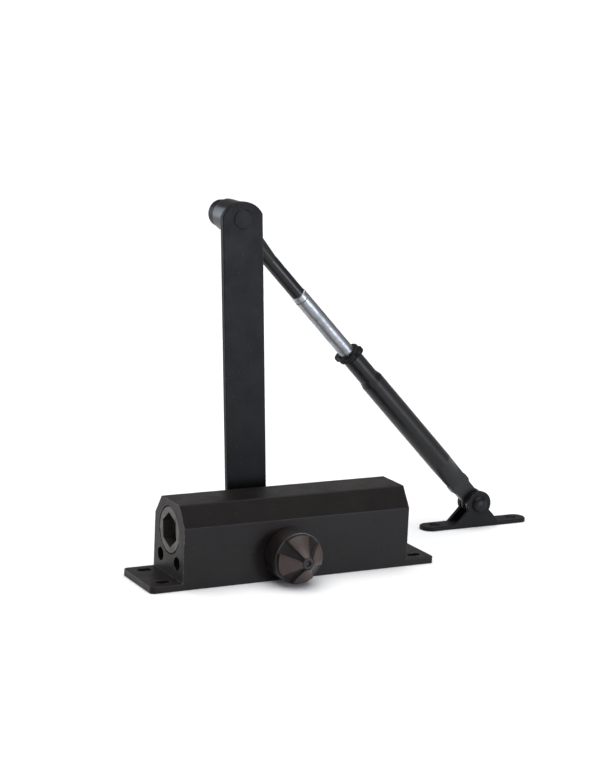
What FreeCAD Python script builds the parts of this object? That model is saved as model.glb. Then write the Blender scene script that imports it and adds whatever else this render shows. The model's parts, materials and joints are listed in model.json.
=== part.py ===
import FreeCAD, Part
import math
import os
import re
import Sketcher

# Surface-mounted door closer, millimetres.
# Frame: origin at the centre of the body's mounting face, +Z away from the door, +X along the
# body towards the shoe, +Y along the pinion shaft towards the arms.
# The main arm stands at its home stop and the forearm leans down to the shoe.

DRIVING_SIZES = [
    # cast body and its feet
    ("body_length", 182),
    ("side_wall", 7.5),
    ("top_wall", 4),
    ("chamfer_width", 10),
    ("chamfer_height", 14.4),
    ("edge_radius", 1.5),
    ("foot_length", 24),
    ("foot_thickness", 5),
    ("foot_corner", 3),
    ("slot_inset", 11.5),
    ("slot_side_inset", 9.5),
    ("slot_width", 6.5),
    ("slot_length", 11),
    # cylinder bore and end plugs
    ("bore_height", 37.5),
    ("bore_diameter", 31),
    ("plug_shoulder", 2),
    ("plug_depth", 10),
    ("plug_spigot", 6),
    ("plug_chamfer", 1.2),
    ("plug_guide_length", 8),
    ("plug_stop_length", 1.5),
    ("hex_flats", 22),
    ("hex_depth", 8.5),
    ("hex_turn", 22),
    ("seal_section", 2.1),
    # speed valves in the left end
    ("valve_height", 16.5),
    ("valve_side_inset", 11.2),
    ("valve_recess_diameter", 10),
    ("valve_recess_depth", 4.5),
    ("valve_diameter", 8),
    ("valve_length", 17),
    ("valve_tip_length", 5),
    ("valve_slot", 1.3),
    ("valve_seal_section", 1.4),
    ("passage_diameter", 3),
    ("passage_reach", 36),
    # pinion, its bearings and glands
    ("pinion_x", -8.5),
    ("pinion_drop", 17.5),
    ("gear_module", 1.5),
    ("gear_teeth", 12),
    ("gear_width", 20),
    ("shaft_diameter", 14),
    ("shaft_square", 10),
    ("bearing_wall", 5),
    ("bearing_width", 6),
    ("bearing_gap", 0.3),
    ("gland_shoulder", 3),
    ("flange_clearance", 0.75),
    ("flange_thickness", 2.5),
    ("gland_notch", 4),
    ("shaft_seal_wall", 3.5),
    ("shaft_seal_width", 3),
    ("shaft_seal_depth", 1.2),
    # pinion cap
    ("cap_diameter", 38),
    ("cap_wall", 2),
    ("cap_depth", 16),
    ("cone_height", 15),
    ("hub_diameter", 14),
    ("dimple_diameter", 7),
    ("dimple_depth", 3.5),
    ("lobe_rise", 3),
    ("lobe_angle", 54),
    ("lobe_count", 4),
    # piston, check valve and springs
    ("home_gap", 2),
    ("piston_reach", 26.5),
    ("left_head", 20),
    ("right_head", 12),
    ("rack_addendum", 1.0),
    ("rack_backlash", 0.2),
    ("guide_length", 8),
    ("check_passage", 3),
    ("check_chamber", 6.4),
    ("check_seat_length", 5),
    ("check_chamber_length", 8),
    ("check_cone_run", 1.2),
    ("check_cone_rise", 0.9),
    ("check_ball_diameter", 5.4),
    ("outer_wire", 3.2),
    ("outer_turns", 6),
    ("inner_wire", 2.2),
    ("inner_turns", 9),
    ("spring_gap", 1.5),
    ("coil_gap", 1.1),
    ("guide_gap", 1),
    # main arm
    ("arm_length", 232),
    ("arm_tilt", 3.4),
    ("arm_width", 32),
    ("arm_thickness", 5),
    ("arm_front", 40),
    ("arm_overhang", 12.5),
    ("arm_end_radius", 18),
    ("arm_edge", 0.6),
    ("arm_washer_diameter", 18),
    ("arm_washer_thickness", 1.2),
    ("arm_screw_diameter", 6),
    ("arm_screw_flats", 10),
    ("arm_screw_head", 2.8),
    ("arm_screw_reach", 13),
    # elbow
    ("elbow_pin_diameter", 12),
    ("elbow_washer_diameter", 22),
    ("elbow_washer_thickness", 1.2),
    ("eye_diameter", 24),
    ("eye_width", 20.2),
    ("elbow_cap_diameter", 20),
    ("elbow_cap_width", 12),
    ("elbow_rivet_diameter", 15),
    ("elbow_rivet_height", 0.8),
    # forearm
    ("forearm_plane", 58),
    ("forearm_length", 324),
    ("neck_diameter", 11),
    ("neck_root_diameter", 16.8),
    ("neck_taper_end", 46),
    ("neck_end", 82),
    ("rod_diameter", 12),
    ("rod_spare", 52),
    ("rod_groove_place", 4.5),
    ("rod_groove_width", 1.2),
    ("rod_groove_depth", 0.7),
    ("nut_place", 146),
    ("nut_thickness", 5),
    ("nut_diameter", 18),
    ("nut_span", 25),
    ("nut_lug_width", 6),
    ("nut_turn", -32),
    ("tube_neck_diameter", 15.4),
    ("tube_neck_length", 23),
    ("tube_diameter", 18),
    ("tube_wall", 1.6),
    ("tube_floor", 5),
    ("squeeze_length", 26),
    ("squeeze_width", 17.2),
    ("tang_length", 24),
    ("tang_width", 14.4),
    ("tang_thickness", 5),
    # shoe
    ("pivot_height", 18.5),
    ("shoe_length", 97),
    ("shoe_width", 16),
    ("shoe_thickness", 3),
    ("shoe_hole_spread", 72),
    ("shoe_hole_diameter", 5.5),
    ("shoe_countersink", 2),
    ("ear_base", 42),
    ("ear_radius", 10.5),
    ("ear_thickness", 3),
    ("bolt_diameter", 6),
    ("bolt_head_diameter", 13),
    ("bolt_head_height", 3.5),
    ("bush_diameter", 19),
    ("bush_gap", 0.3),
    ("nut_flats", 10),
    ("nut_height", 4),
    # clearances
    ("running_fit", 0.05),
    ("seated_fit", 0.02),
    ("side_gap", 0.3),
]

DERIVED_SIZES = [
    ("plug_diameter", "bore_diameter + 2 * plug_shoulder"),
    ("body_depth", "plug_diameter + 2 * side_wall"),
    ("body_height", "bore_height + plug_diameter / 2 + top_wall"),
    ("side_height", "body_height - chamfer_height"),
    ("top_width", "body_depth - 2 * chamfer_width"),
    ("slot_spread", "body_depth - 2 * slot_side_inset"),
    ("valve_spread", "body_depth - 2 * valve_side_inset"),
    ("half_length", "body_length / 2"),
    ("half_depth", "body_depth / 2"),
    ("bore_radius", "bore_diameter / 2"),
    ("pinion_height", "bore_height - pinion_drop"),
    ("bearing_diameter", "shaft_diameter + 2 * bearing_wall"),
    ("gland_diameter", "bearing_diameter + 2 * gland_shoulder"),
    ("flange_diameter", "cap_diameter - 2 * cap_wall - 2 * flange_clearance"),
    ("shaft_seal_diameter", "shaft_diameter + 2 * shaft_seal_wall"),
    ("outer_coil", "bore_diameter - 2 * spring_gap - outer_wire"),
    ("inner_coil", "outer_coil - outer_wire - inner_wire - 2 * coil_gap"),
    ("guide_diameter", "inner_coil - inner_wire - 2 * guide_gap"),
    ("plug_inner_face", "half_length - plug_depth - plug_spigot"),
    ("piston_left", "home_gap - plug_inner_face"),
    ("piston_right", "pinion_x + piston_reach"),
    ("piston_length", "piston_right - piston_left"),
    ("pitch_radius", "gear_module * gear_teeth / 2"),
    ("gear_tip_radius", "pitch_radius + gear_module"),
    ("mesh_clearance", "gear_module * 0.27"),
    ("rack_tip_height", "pinion_height + pitch_radius - rack_addendum"),
    ("rack_root_height", "pinion_height + gear_tip_radius + mesh_clearance"),
    ("gear_root_radius", "pitch_radius - rack_addendum - mesh_clearance"),
    ("shaft_radius", "shaft_diameter / 2"),
    ("bearing_start", "bore_radius + bearing_gap"),
    ("gland_start", "bearing_start + bearing_width"),
    ("flange_face", "half_depth + flange_thickness"),
    ("cap_rim", "half_depth + cap_depth"),
    ("hub_face", "cap_rim + cone_height"),
    ("arm_back", "arm_front + arm_thickness"),
    ("elbow_x", "pinion_x - arm_length * sin(arm_tilt * 1 deg)"),
    ("elbow_height", "pinion_height + arm_length * cos(arm_tilt * 1 deg)"),
    ("eye_start", "arm_back + elbow_washer_thickness + side_gap"),
    ("elbow_cap_start", "eye_start + eye_width + side_gap"),
    ("forearm_slope", "asin((elbow_height - pivot_height) / forearm_length) / 1 deg"),
    ("shoe_x", "elbow_x + forearm_length * cos(forearm_slope * 1 deg)"),
    ("tube_start", "nut_place + nut_thickness + side_gap"),
    ("tube_end", "forearm_length - tang_length - squeeze_length"),
    ("rod_end_place", "tube_end - tube_floor - rod_spare"),
    ("rod_radius", "rod_diameter / 2"),
    ("cone_angle", "atan(check_cone_rise / check_cone_run) / 1 deg"),
    ("ear_inside", "shoe_width / 2 - ear_thickness"),
]

PRESSURE_ANGLE = 20

FOREARM = ("placement(vector(elbow_x; forearm_plane; elbow_height);"
           " rotation(vector(0; 1; 0); forearm_slope))")
MAIN_ARM = ("placement(vector(pinion_x; 0; pinion_height);"
            " rotation(vector(0; 1; 0); -arm_tilt))")
SHAFT_AXIS = "placement(vector(pinion_x; 0; pinion_height); rotation(vector(0; 1; 0); 0))"
ELBOW_AXIS = "placement(vector(elbow_x; 0; elbow_height); rotation(vector(0; 1; 0); 0))"
SHOE = "placement(vector(shoe_x; forearm_plane; 0); rotation(vector(0; 1; 0); 0))"

document = FreeCAD.newDocument("door_closer")
sheet = document.addObject("Spreadsheet::Sheet", "sizes")
SIZE_NAMES = set()


def write_sheet():
    """Put every size in the sheet, one per row, with its alias."""
    row = 1
    for alias, value in DRIVING_SIZES:
        sheet.set("A%d" % row, str(value))
        sheet.setAlias("A%d" % row, alias)
        SIZE_NAMES.add(alias)
        row += 1
    for alias, formula in DERIVED_SIZES:
        sheet.set("A%d" % row, "=" + formula)
        sheet.setAlias("A%d" % row, alias)
        SIZE_NAMES.add(alias)
        row += 1
    document.recompute()


def bound(formula):
    """The formula with each size name pointing at its cell."""
    def cell(word):
        name = word.group()
        return "sizes." + name if name in SIZE_NAMES else name
    return re.sub(r"[a-z][a-z_0-9]*", cell, str(formula))


def size(formula):
    """The formula's present value as a number."""
    return float(sheet.evalExpression(bound(formula)))


def drive(item, **formulas):
    """Bind properties of a document object to formulas."""
    for name, formula in formulas.items():
        item.setExpression(name, bound(formula))
    return item


def place(item, formula):
    """Bind the whole placement of a document object."""
    item.setExpression("Placement", bound(formula))
    return item


# ---- sketches and PartDesign features ----

def new_body(label):
    body = document.addObject("PartDesign::Body", label)
    body.Label = label
    return body


def new_sketch(body, plane, offset="0"):
    """A sketch on one of the body's origin planes, moved along the plane's normal."""
    sketch = body.newObject("Sketcher::SketchObject", body.Label + "_sketch")
    origin_plane = [part for part in body.Origin.OriginFeatures if part.Role == plane][0]
    sketch.AttachmentSupport = (origin_plane, [""])
    sketch.MapMode = "FlatFace"
    sketch.setExpression("AttachmentOffset.Base.z", bound(offset))
    return sketch


def fix_coordinate(sketch, kind, geometry, point, formula):
    index = sketch.addConstraint(
        Sketcher.Constraint(kind, -1, 1, geometry, point, size(formula)))
    sketch.setExpression("Constraints[%d]" % index, bound(formula))


def fix_radius(sketch, geometry, formula):
    index = sketch.addConstraint(Sketcher.Constraint("Radius", geometry, size(formula)))
    sketch.setExpression("Constraints[%d]" % index, bound(formula))


def arc_between(start, end, radius):
    """A short arc from start to end that bulges to the right of the way, as on a convex outline."""
    middle = (start + end) / 2
    chord = end - start
    rise = math.sqrt(max(radius ** 2 - (chord.Length / 2) ** 2, 0))
    left = FreeCAD.Vector(-chord.y, chord.x, 0).normalize()
    centre = middle + left * rise
    first = math.atan2(start.y - centre.y, start.x - centre.x)
    last = math.atan2(end.y - centre.y, end.x - centre.x)
    circle = Part.Circle(centre, FreeCAD.Vector(0, 0, 1), radius)
    return Part.ArcOfCircle(circle, first, last)


def outline(sketch, corners):
    """A closed anticlockwise outline. A corner is (x, y) or (x, y, radius of the arc that follows)."""
    points = [FreeCAD.Vector(size(c[0]), size(c[1]), 0) for c in corners]
    indexes = []
    for number, corner in enumerate(corners):
        start = points[number]
        end = points[(number + 1) % len(points)]
        if len(corner) == 3:
            index = sketch.addGeometry(arc_between(start, end, size(corner[2])))
        else:
            index = sketch.addGeometry(Part.LineSegment(start, end))
        indexes.append(index)
    for number, index in enumerate(indexes):
        following = indexes[(number + 1) % len(indexes)]
        sketch.addConstraint(Sketcher.Constraint("Coincident", index, 2, following, 1))
    for index, corner in zip(indexes, corners):
        fix_coordinate(sketch, "DistanceX", index, 1, corner[0])
        fix_coordinate(sketch, "DistanceY", index, 1, corner[1])
        if len(corner) == 3:
            fix_radius(sketch, index, corner[2])


def circle(sketch, x, y, radius):
    centre = FreeCAD.Vector(size(x), size(y), 0)
    index = sketch.addGeometry(Part.Circle(centre, FreeCAD.Vector(0, 0, 1), size(radius)))
    fix_coordinate(sketch, "DistanceX", index, 3, x)
    fix_coordinate(sketch, "DistanceY", index, 3, y)
    fix_radius(sketch, index, radius)


def rectangle(sketch, low_x, low_y, high_x, high_y):
    outline(sketch, [(low_x, low_y), (high_x, low_y), (high_x, high_y), (low_x, high_y)])


def hexagon(sketch, x, y, flats, turn="0"):
    reach = "(%s) / (2 * cos(30 deg))" % flats
    corners = []
    for number in range(6):
        angle = "(%s + %d) * 1 deg" % (turn, 60 * number)
        corners.append(("%s + %s * cos(%s)" % (x, reach, angle),
                        "%s + %s * sin(%s)" % (y, reach, angle)))
    outline(sketch, corners)


def long_hole(sketch, x, y, length, width):
    """A slot along the sketch's first axis, with round ends."""
    half = "((%s) - (%s)) / 2" % (length, width)
    radius = "(%s) / 2" % width
    outline(sketch, [
        ("%s - %s" % (x, half), "%s - %s" % (y, radius)),
        ("%s + %s" % (x, half), "%s - %s" % (y, radius), radius),
        ("%s + %s + %s" % (x, half, radius), y, radius),
        ("%s + %s" % (x, half), "%s + %s" % (y, radius)),
        ("%s - %s" % (x, half), "%s + %s" % (y, radius), radius),
        ("%s - %s - %s" % (x, half, radius), y, radius),
    ])


def extrude(body, kind, sketch, length, symmetric=False, reverse=False):
    feature = body.newObject("PartDesign::" + kind, body.Label + "_" + kind.lower())
    feature.Profile = sketch
    feature.SideType = "Symmetric" if symmetric else "One side"
    feature.Reversed = reverse
    feature.setExpression("Length", bound(length))
    document.recompute()
    return feature


def pad(body, sketch, length, **options):
    return extrude(body, "Pad", sketch, length, **options)


def pocket(body, sketch, length, **options):
    """A pocket that must take material away."""
    before = body.Shape.Volume
    feature = extrude(body, "Pocket", sketch, length, **options)
    if feature.Shape.Volume > before - 0.01:
        raise RuntimeError(body.Label + ": a pocket cuts nothing")
    return feature


def spin(body, kind, sketch, axis, angle=360):
    before = body.Shape.Volume if kind == "Groove" else 0
    feature = body.newObject("PartDesign::" + kind, body.Label + "_" + kind.lower())
    feature.Profile = sketch
    feature.ReferenceAxis = (sketch, [axis])
    feature.Angle = angle
    document.recompute()
    if kind == "Groove" and feature.Shape.Volume > before - 0.01:
        raise RuntimeError(body.Label + ": a groove cuts nothing")
    return feature


def dress(body, kind, formula, wanted):
    """A fillet or chamfer on the tip's edges for which wanted(edge) is true."""
    base = body.Tip
    names = ["Edge%d" % (number + 1) for number, edge in enumerate(base.Shape.Edges) if wanted(edge)]
    if not names:
        raise RuntimeError(body.Label + ": no edge to dress")
    feature = body.newObject("PartDesign::" + kind, body.Label + "_" + kind.lower())
    feature.Base = (base, names)
    feature.setExpression("Radius" if kind == "Fillet" else "Size", bound(formula))
    document.recompute()
    return feature


def turned_x(label, profile, where=None):
    """A piece turned about its own X axis. The profile is a list of (along, radius)."""
    body = new_body(label)
    sketch = new_sketch(body, "XY_Plane")
    outline(sketch, profile)
    spin(body, "Revolution", sketch, "H_Axis")
    if where:
        place(body, where)
    return body


def turned_y(label, profile, where=None):
    """A piece turned about its own Y axis. The profile is a list of (radius, along)."""
    body = new_body(label)
    sketch = new_sketch(body, "XY_Plane")
    outline(sketch, profile)
    spin(body, "Revolution", sketch, "V_Axis")
    if where:
        place(body, where)
    return body


def ring_y(label, inner, outer, start, end, where):
    """A plain ring about a Y axis; inner and outer are radii."""
    return turned_y(label, [(inner, start), (outer, start), (outer, end), (inner, end)], where)


def is_straight_along(edge, axis):
    """True for a straight edge parallel to an axis, 0 for X, 1 for Y, 2 for Z."""
    if not isinstance(edge.Curve, Part.Line):
        return False
    return abs(abs(edge.Curve.Direction[axis]) - 1) < 1e-6


def is_near(value, formula):
    return abs(value - size(formula)) < 1e-4


# ---- housing ----

def make_body_casting():
    """Octagonal-topped casting with a foot at each end, bored along X and across along Y."""
    body = new_body("body_casting")
    section = new_sketch(body, "YZ_Plane")
    outline(section, [
        ("-half_depth", "0"), ("half_depth", "0"), ("half_depth", "side_height"),
        ("top_width / 2", "body_height"), ("-top_width / 2", "body_height"),
        ("-half_depth", "side_height")])
    pad(body, section, "body_length", symmetric=True)
    dress(body, "Fillet", "edge_radius",
          lambda edge: is_straight_along(edge, 0) and edge.CenterOfMass.z > 1)

    feet = new_sketch(body, "XY_Plane")
    rectangle(feet, "-half_length - foot_length", "-half_depth",
              "half_length + foot_length", "half_depth")
    pad(body, feet, "foot_thickness")
    dress(body, "Fillet", "foot_corner",
          lambda edge: is_straight_along(edge, 2)
          and is_near(abs(edge.CenterOfMass.x), "half_length + foot_length"))
    dress(body, "Fillet", "edge_radius * 0.5",
          lambda edge: is_near(edge.CenterOfMass.z, "foot_thickness")
          and abs(edge.CenterOfMass.x) > size("half_length + 1"))

    slots = new_sketch(body, "XY_Plane")
    for x_sign in ("-", ""):
        for y_sign in ("-", ""):
            long_hole(slots, x_sign + "(half_length + slot_inset)",
                      y_sign + "(slot_spread / 2)", "slot_length", "slot_width")
    pocket(body, slots, "foot_thickness * 3", symmetric=True)

    cylinder = new_sketch(body, "YZ_Plane")
    circle(cylinder, "0", "bore_height", "bore_radius")
    pocket(body, cylinder, "body_length + 2", symmetric=True)
    for offset, reverse in (("-half_length", True), ("half_length", False)):
        thread = new_sketch(body, "YZ_Plane", offset)
        circle(thread, "0", "bore_height", "plug_diameter / 2")
        pocket(body, thread, "plug_depth", reverse=reverse)

    across = new_sketch(body, "XZ_Plane")
    circle(across, "pinion_x", "pinion_height", "bearing_diameter / 2")
    pocket(body, across, "2 * gland_start", symmetric=True)
    for offset, reverse in (("half_depth", False), ("-half_depth", True)):
        gland = new_sketch(body, "XZ_Plane", offset)
        circle(gland, "pinion_x", "pinion_height", "gland_diameter / 2")
        pocket(body, gland, "half_depth - gland_start", reverse=reverse)

    bore_valves(body)
    return body


def bore_valves(body):
    """Valve recesses, valve bores and oil passages for both valves in the left end."""
    steps = [
        ("valve_recess_diameter / 2", "valve_recess_depth"),
        ("valve_diameter / 2 + running_fit", "valve_recess_depth + valve_length + valve_tip_length"),
        ("passage_diameter / 2", "passage_reach"),
    ]
    for radius, depth in steps:
        sketch = new_sketch(body, "YZ_Plane", "-half_length")
        for sign in ("-", ""):
            circle(sketch, sign + "(valve_spread / 2)", "valve_height", radius)
        pocket(body, sketch, depth, reverse=True)
    rise = new_sketch(body, "XY_Plane", "valve_height")
    for sign in ("-", ""):
        circle(rise, "passage_reach - half_length - passage_diameter",
               sign + "(valve_spread / 2)", "passage_diameter * 0.4")
    pocket(body, rise, "bore_height - valve_height", reverse=True)


def make_end_plug(label, where, guide_length):
    """Screwed plug: face at x = 0, sealed spigot and spring guide inward along +X."""
    radius = "(plug_diameter / 2 - seated_fit)"
    spigot = "(bore_radius - seated_fit)"
    groove_start = "plug_depth + plug_spigot / 2 - seal_section * 0.6"
    groove_end = "plug_depth + plug_spigot / 2 + seal_section * 0.6"
    floor = "bore_radius - seal_section"
    guide_end = "plug_depth + plug_spigot + " + guide_length
    body = turned_x(label, [
        ("0", "0"), (guide_end, "0"), (guide_end, "guide_diameter / 2"),
        ("plug_depth + plug_spigot", "guide_diameter / 2"),
        ("plug_depth + plug_spigot", spigot),
        (groove_end, spigot), (groove_end, floor),
        (groove_start, floor), (groove_start, spigot),
        ("plug_depth", spigot), ("plug_depth", radius),
        ("plug_chamfer", radius), ("0", radius + " - plug_chamfer")], where)
    socket = new_sketch(body, "YZ_Plane")
    hexagon(socket, "0", "0", "hex_flats", "hex_turn")
    pocket(body, socket, "hex_depth", reverse=True)
    return body


def make_left_plug():
    """The left plug has no spring behind it, so only a low stop stands on its spigot."""
    return make_end_plug(
        "end_plug_left",
        "placement(vector(-half_length; 0; bore_height); rotation(vector(1; 0; 0); 0))",
        "plug_stop_length")


def make_right_plug():
    return make_end_plug(
        "end_plug_right",
        "placement(vector(half_length; 0; bore_height); rotation(vector(0; 0; 1); 180))",
        "plug_guide_length")


def make_seal(label, major, section, where):
    """An O-ring about an axis along X."""
    ring = document.addObject("Part::Torus", label)
    ring.Label = label
    drive(ring, Radius1=major, Radius2="(%s) / 2" % section)
    place(ring, "placement(%s; rotation(vector(0; 1; 0); 90))" % where)
    return ring


def make_plug_seals():
    major = "bore_radius - seated_fit - seal_section / 2 - 0.01"
    place_x = "half_length - plug_depth - plug_spigot / 2"
    for label, sign in (("plug_seal_left", "-"), ("plug_seal_right", "")):
        make_seal(label, major, "seal_section - 0.1",
                  "vector(%s(%s); 0; bore_height)" % (sign, place_x))


def make_valve(label, side):
    """Slotted needle valve and its seal, head a recess depth inside the left end."""
    head = "-half_length + valve_recess_depth"
    where = ("placement(vector(%s; %s(valve_spread / 2); valve_height);"
             " rotation(vector(1; 0; 0); 35))" % (head, side))
    groove = "valve_length * 0.55"
    radius = "valve_diameter / 2"
    body = turned_x(label, [
        ("0", "0"), ("valve_length + valve_tip_length", "0"),
        ("valve_length + valve_tip_length", "0.6"),
        ("valve_length", radius),
        (groove + " + valve_seal_section", radius),
        (groove + " + valve_seal_section", radius + " - valve_seal_section * 0.8"),
        (groove, radius + " - valve_seal_section * 0.8"),
        (groove, radius),
        ("0.5", radius), ("0", radius + " - 0.5")], where)
    slot = new_sketch(body, "YZ_Plane")
    rectangle(slot, "-valve_diameter", "-valve_slot / 2", "valve_diameter", "valve_slot / 2")
    pocket(body, slot, "valve_slot * 1.2", reverse=True)
    make_seal(label + "_seal", "valve_diameter / 2 - valve_seal_section * 0.4",
              "valve_seal_section * 0.8 - 0.04",
              "vector(%s + %s + valve_seal_section / 2; %s(valve_spread / 2); valve_height)"
              % (head, groove, side))


def make_bearings():
    for label, sign in (("bearing_front", "-"), ("bearing_rear", "")):
        ring_y(label, "shaft_radius + running_fit", "bearing_diameter / 2 - seated_fit",
               sign + "bearing_start", sign + "gland_start", SHAFT_AXIS)


def make_gland(label, sign):
    """Screwed gland with an outside flange, four key notches and a seat for the shaft seal."""
    hole = "shaft_radius + 0.3"
    thread = "gland_diameter / 2 - seated_fit"
    seat = "shaft_seal_diameter / 2"
    face = sign + "flange_face"
    profile = [
        (hole, sign + "gland_start"), (thread, sign + "gland_start"),
        (thread, sign + "half_depth"), ("flange_diameter / 2", sign + "half_depth"),
        ("flange_diameter / 2", "%s(flange_face - 0.6)" % sign),
        ("flange_diameter / 2 - 0.6", face),
        (seat, face), (seat, "%s(flange_face - shaft_seal_depth - shaft_seal_width)" % sign),
        (hole, "%s(flange_face - shaft_seal_depth - shaft_seal_width)" % sign)]
    body = turned_y(label, profile, SHAFT_AXIS)
    notches = new_sketch(body, "XZ_Plane", "flange_face" if sign else "-flange_face")
    half = "gland_notch / 2"
    inner = "(flange_diameter / 2 - gland_notch * 0.75)"
    outer = "(flange_diameter / 2 + 1)"
    rectangle(notches, inner, "-" + half, outer, half)
    rectangle(notches, "-" + outer, "-" + half, "-" + inner, half)
    rectangle(notches, "-" + half, inner, half, outer)
    rectangle(notches, "-" + half, "-" + outer, half, "-" + inner)
    pocket(body, notches, "flange_thickness * 0.6", reverse=not sign)
    return body


def make_shaft_seals():
    for label, sign in (("shaft_seal_front", "-"), ("shaft_seal_rear", "")):
        ring_y(label, "shaft_radius + running_fit", "shaft_seal_diameter / 2 - seated_fit",
               "%s(flange_face - shaft_seal_depth - shaft_seal_width)" % sign,
               "%s(flange_face - shaft_seal_depth)" % sign, SHAFT_AXIS)


def make_pinion_cap():
    """Hollow cap over the unused end of the shaft: round wall, lobed cone and dimpled hub."""
    outer = "cap_diameter / 2"
    inner = "(cap_diameter / 2 - cap_wall)"
    floor_hub = "-(hub_face - lobe_rise)"
    body = turned_y("pinion_cap", [
        (inner, "-half_depth"), (inner, "-(cap_rim - cap_wall)"),
        ("hub_diameter / 2 - 1", "-(hub_face - lobe_rise - 2.2 * cap_wall)"),
        ("0", "-(hub_face - lobe_rise - 2.2 * cap_wall)"),
        ("0", "-(hub_face - dimple_depth * 0.8)"),
        ("dimple_diameter / 2 - 1", "-(hub_face - dimple_depth * 0.8)"),
        ("dimple_diameter / 2", "-hub_face"),
        ("hub_diameter / 2 - 0.8", "-hub_face"),
        ("hub_diameter / 2", "-(hub_face - 0.8)"),
        ("hub_diameter / 2", floor_hub),
        (outer + " - 1", "-cap_rim"),
        (outer, "-(cap_rim - 1)"), (outer, "-half_depth")], SHAFT_AXIS)
    lobe = new_sketch(body, "XY_Plane")
    outline(lobe, [
        ("hub_diameter / 2 - 1", floor_hub + " + 0.5"),
        ("hub_diameter / 2 - 1", "-(hub_face - 0.9)"),
        ("hub_diameter / 2 + 0.4", "-(hub_face - 0.9)"),
        (outer + " - 1.2", "-(cap_rim + lobe_rise)"),
        (outer + " - 0.5", "-(cap_rim + lobe_rise - 1)"),
        (outer + " - 0.5", "-(cap_rim - 1.5)"),
        (outer + " - 2.5", "-(cap_rim - 1.5)")])
    sector = spin(body, "Revolution", lobe, "V_Axis", size("lobe_angle"))
    sector.setExpression("Angle", bound("lobe_angle"))
    sector.Midplane = True
    ring = body.newObject("PartDesign::PolarPattern", "pinion_cap_lobes")
    ring.Originals = [sector]
    ring.Axis = (lobe, ["V_Axis"])
    ring.Angle = 360
    ring.setExpression("Occurrences", bound("lobe_count"))
    body.Tip = ring
    document.recompute()
    return body


# ---- pinion, piston and springs ----

def involute(angle):
    return math.tan(angle) - angle


def gear_wire(tip, root, pitch, teeth):
    """Closed outline of a spur gear about the origin in XZ, one tooth pointing along +Z."""
    pressure = math.radians(PRESSURE_ANGLE)
    base = pitch * math.cos(pressure)
    half_at_base = math.pi / (2 * teeth) + involute(pressure)
    flank = [(root, half_at_base)]
    steps = 7
    for step in range(steps + 1):
        radius = base + (tip - base) * step / steps
        flank.append((radius, half_at_base - involute(math.acos(base / radius))))
    points = []
    for tooth in range(teeth):
        middle = 2 * math.pi * tooth / teeth
        for radius, half in flank:
            points.append((radius, middle - half))
        for radius, half in reversed(flank):
            points.append((radius, middle + half))
    corners = [FreeCAD.Vector(r * math.sin(a), 0, r * math.cos(a)) for r, a in points]
    return Part.makePolygon(corners + [corners[0]])


def make_pinion_shaft():
    """Pinion cut on a round shaft, squared at both ends, with a tapped hole at the arm end."""
    gear = document.addObject("Part::Feature", "pinion_teeth")
    wire = gear_wire(size("gear_tip_radius"), size("gear_root_radius"), size("pitch_radius"),
                     int(size("gear_teeth")))
    gear.Shape = Part.Face(wire).extrude(FreeCAD.Vector(0, size("gear_width"), 0))
    place(gear, "placement(vector(pinion_x; -gear_width / 2; pinion_height);"
                " rotation(vector(0; 1; 0); 0))")

    core = "gear_root_radius - 0.1"
    shoulder = "bearing_start - side_gap"
    journal = turned_y("pinion_journal", [
        ("0", "-(flange_face + 0.3)"), ("shaft_radius", "-(flange_face + 0.3)"),
        ("shaft_radius", "-(%s)" % shoulder), (core, "-(%s)" % shoulder),
        (core, shoulder), ("shaft_radius", shoulder),
        ("shaft_radius", "arm_front"), ("0", "arm_front")], SHAFT_AXIS)
    front_end = "cap_rim - cap_wall - 1"
    square = document.addObject("Part::Box", "pinion_squares")
    drive(square, Length="shaft_square", Width="%s + arm_back - 0.5" % front_end,
          Height="shaft_square")
    place(square, MAIN_ARM + " * placement(vector(-shaft_square / 2; -(%s); -shaft_square / 2);"
                             " rotation(vector(0; 1; 0); 0))" % front_end)
    round_stock = turned_y("pinion_stock", [
        ("0", "-(%s)" % front_end), ("shaft_radius - 1", "-(%s)" % front_end),
        ("shaft_radius", "-(%s) + 1" % front_end), ("shaft_radius", "arm_back - 0.5"),
        ("0", "arm_back - 0.5")], SHAFT_AXIS)
    ends = document.addObject("Part::Common", "pinion_ends")
    ends.Base = square
    ends.Tool = round_stock

    joined = document.addObject("Part::MultiFuse", "pinion_blank")
    joined.Shapes = [gear, journal, ends]
    tapped = turned_y("pinion_tapping", [
        ("0", "arm_back - arm_screw_reach - 2"),
        ("arm_screw_diameter / 2", "arm_back - arm_screw_reach"),
        ("arm_screw_diameter / 2", "arm_back + 1"), ("0", "arm_back + 1")], SHAFT_AXIS)
    shaft = document.addObject("Part::Cut", "pinion_shaft")
    shaft.Label = "pinion_shaft"
    shaft.Base = joined
    shaft.Tool = tapped
    return shaft


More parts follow.
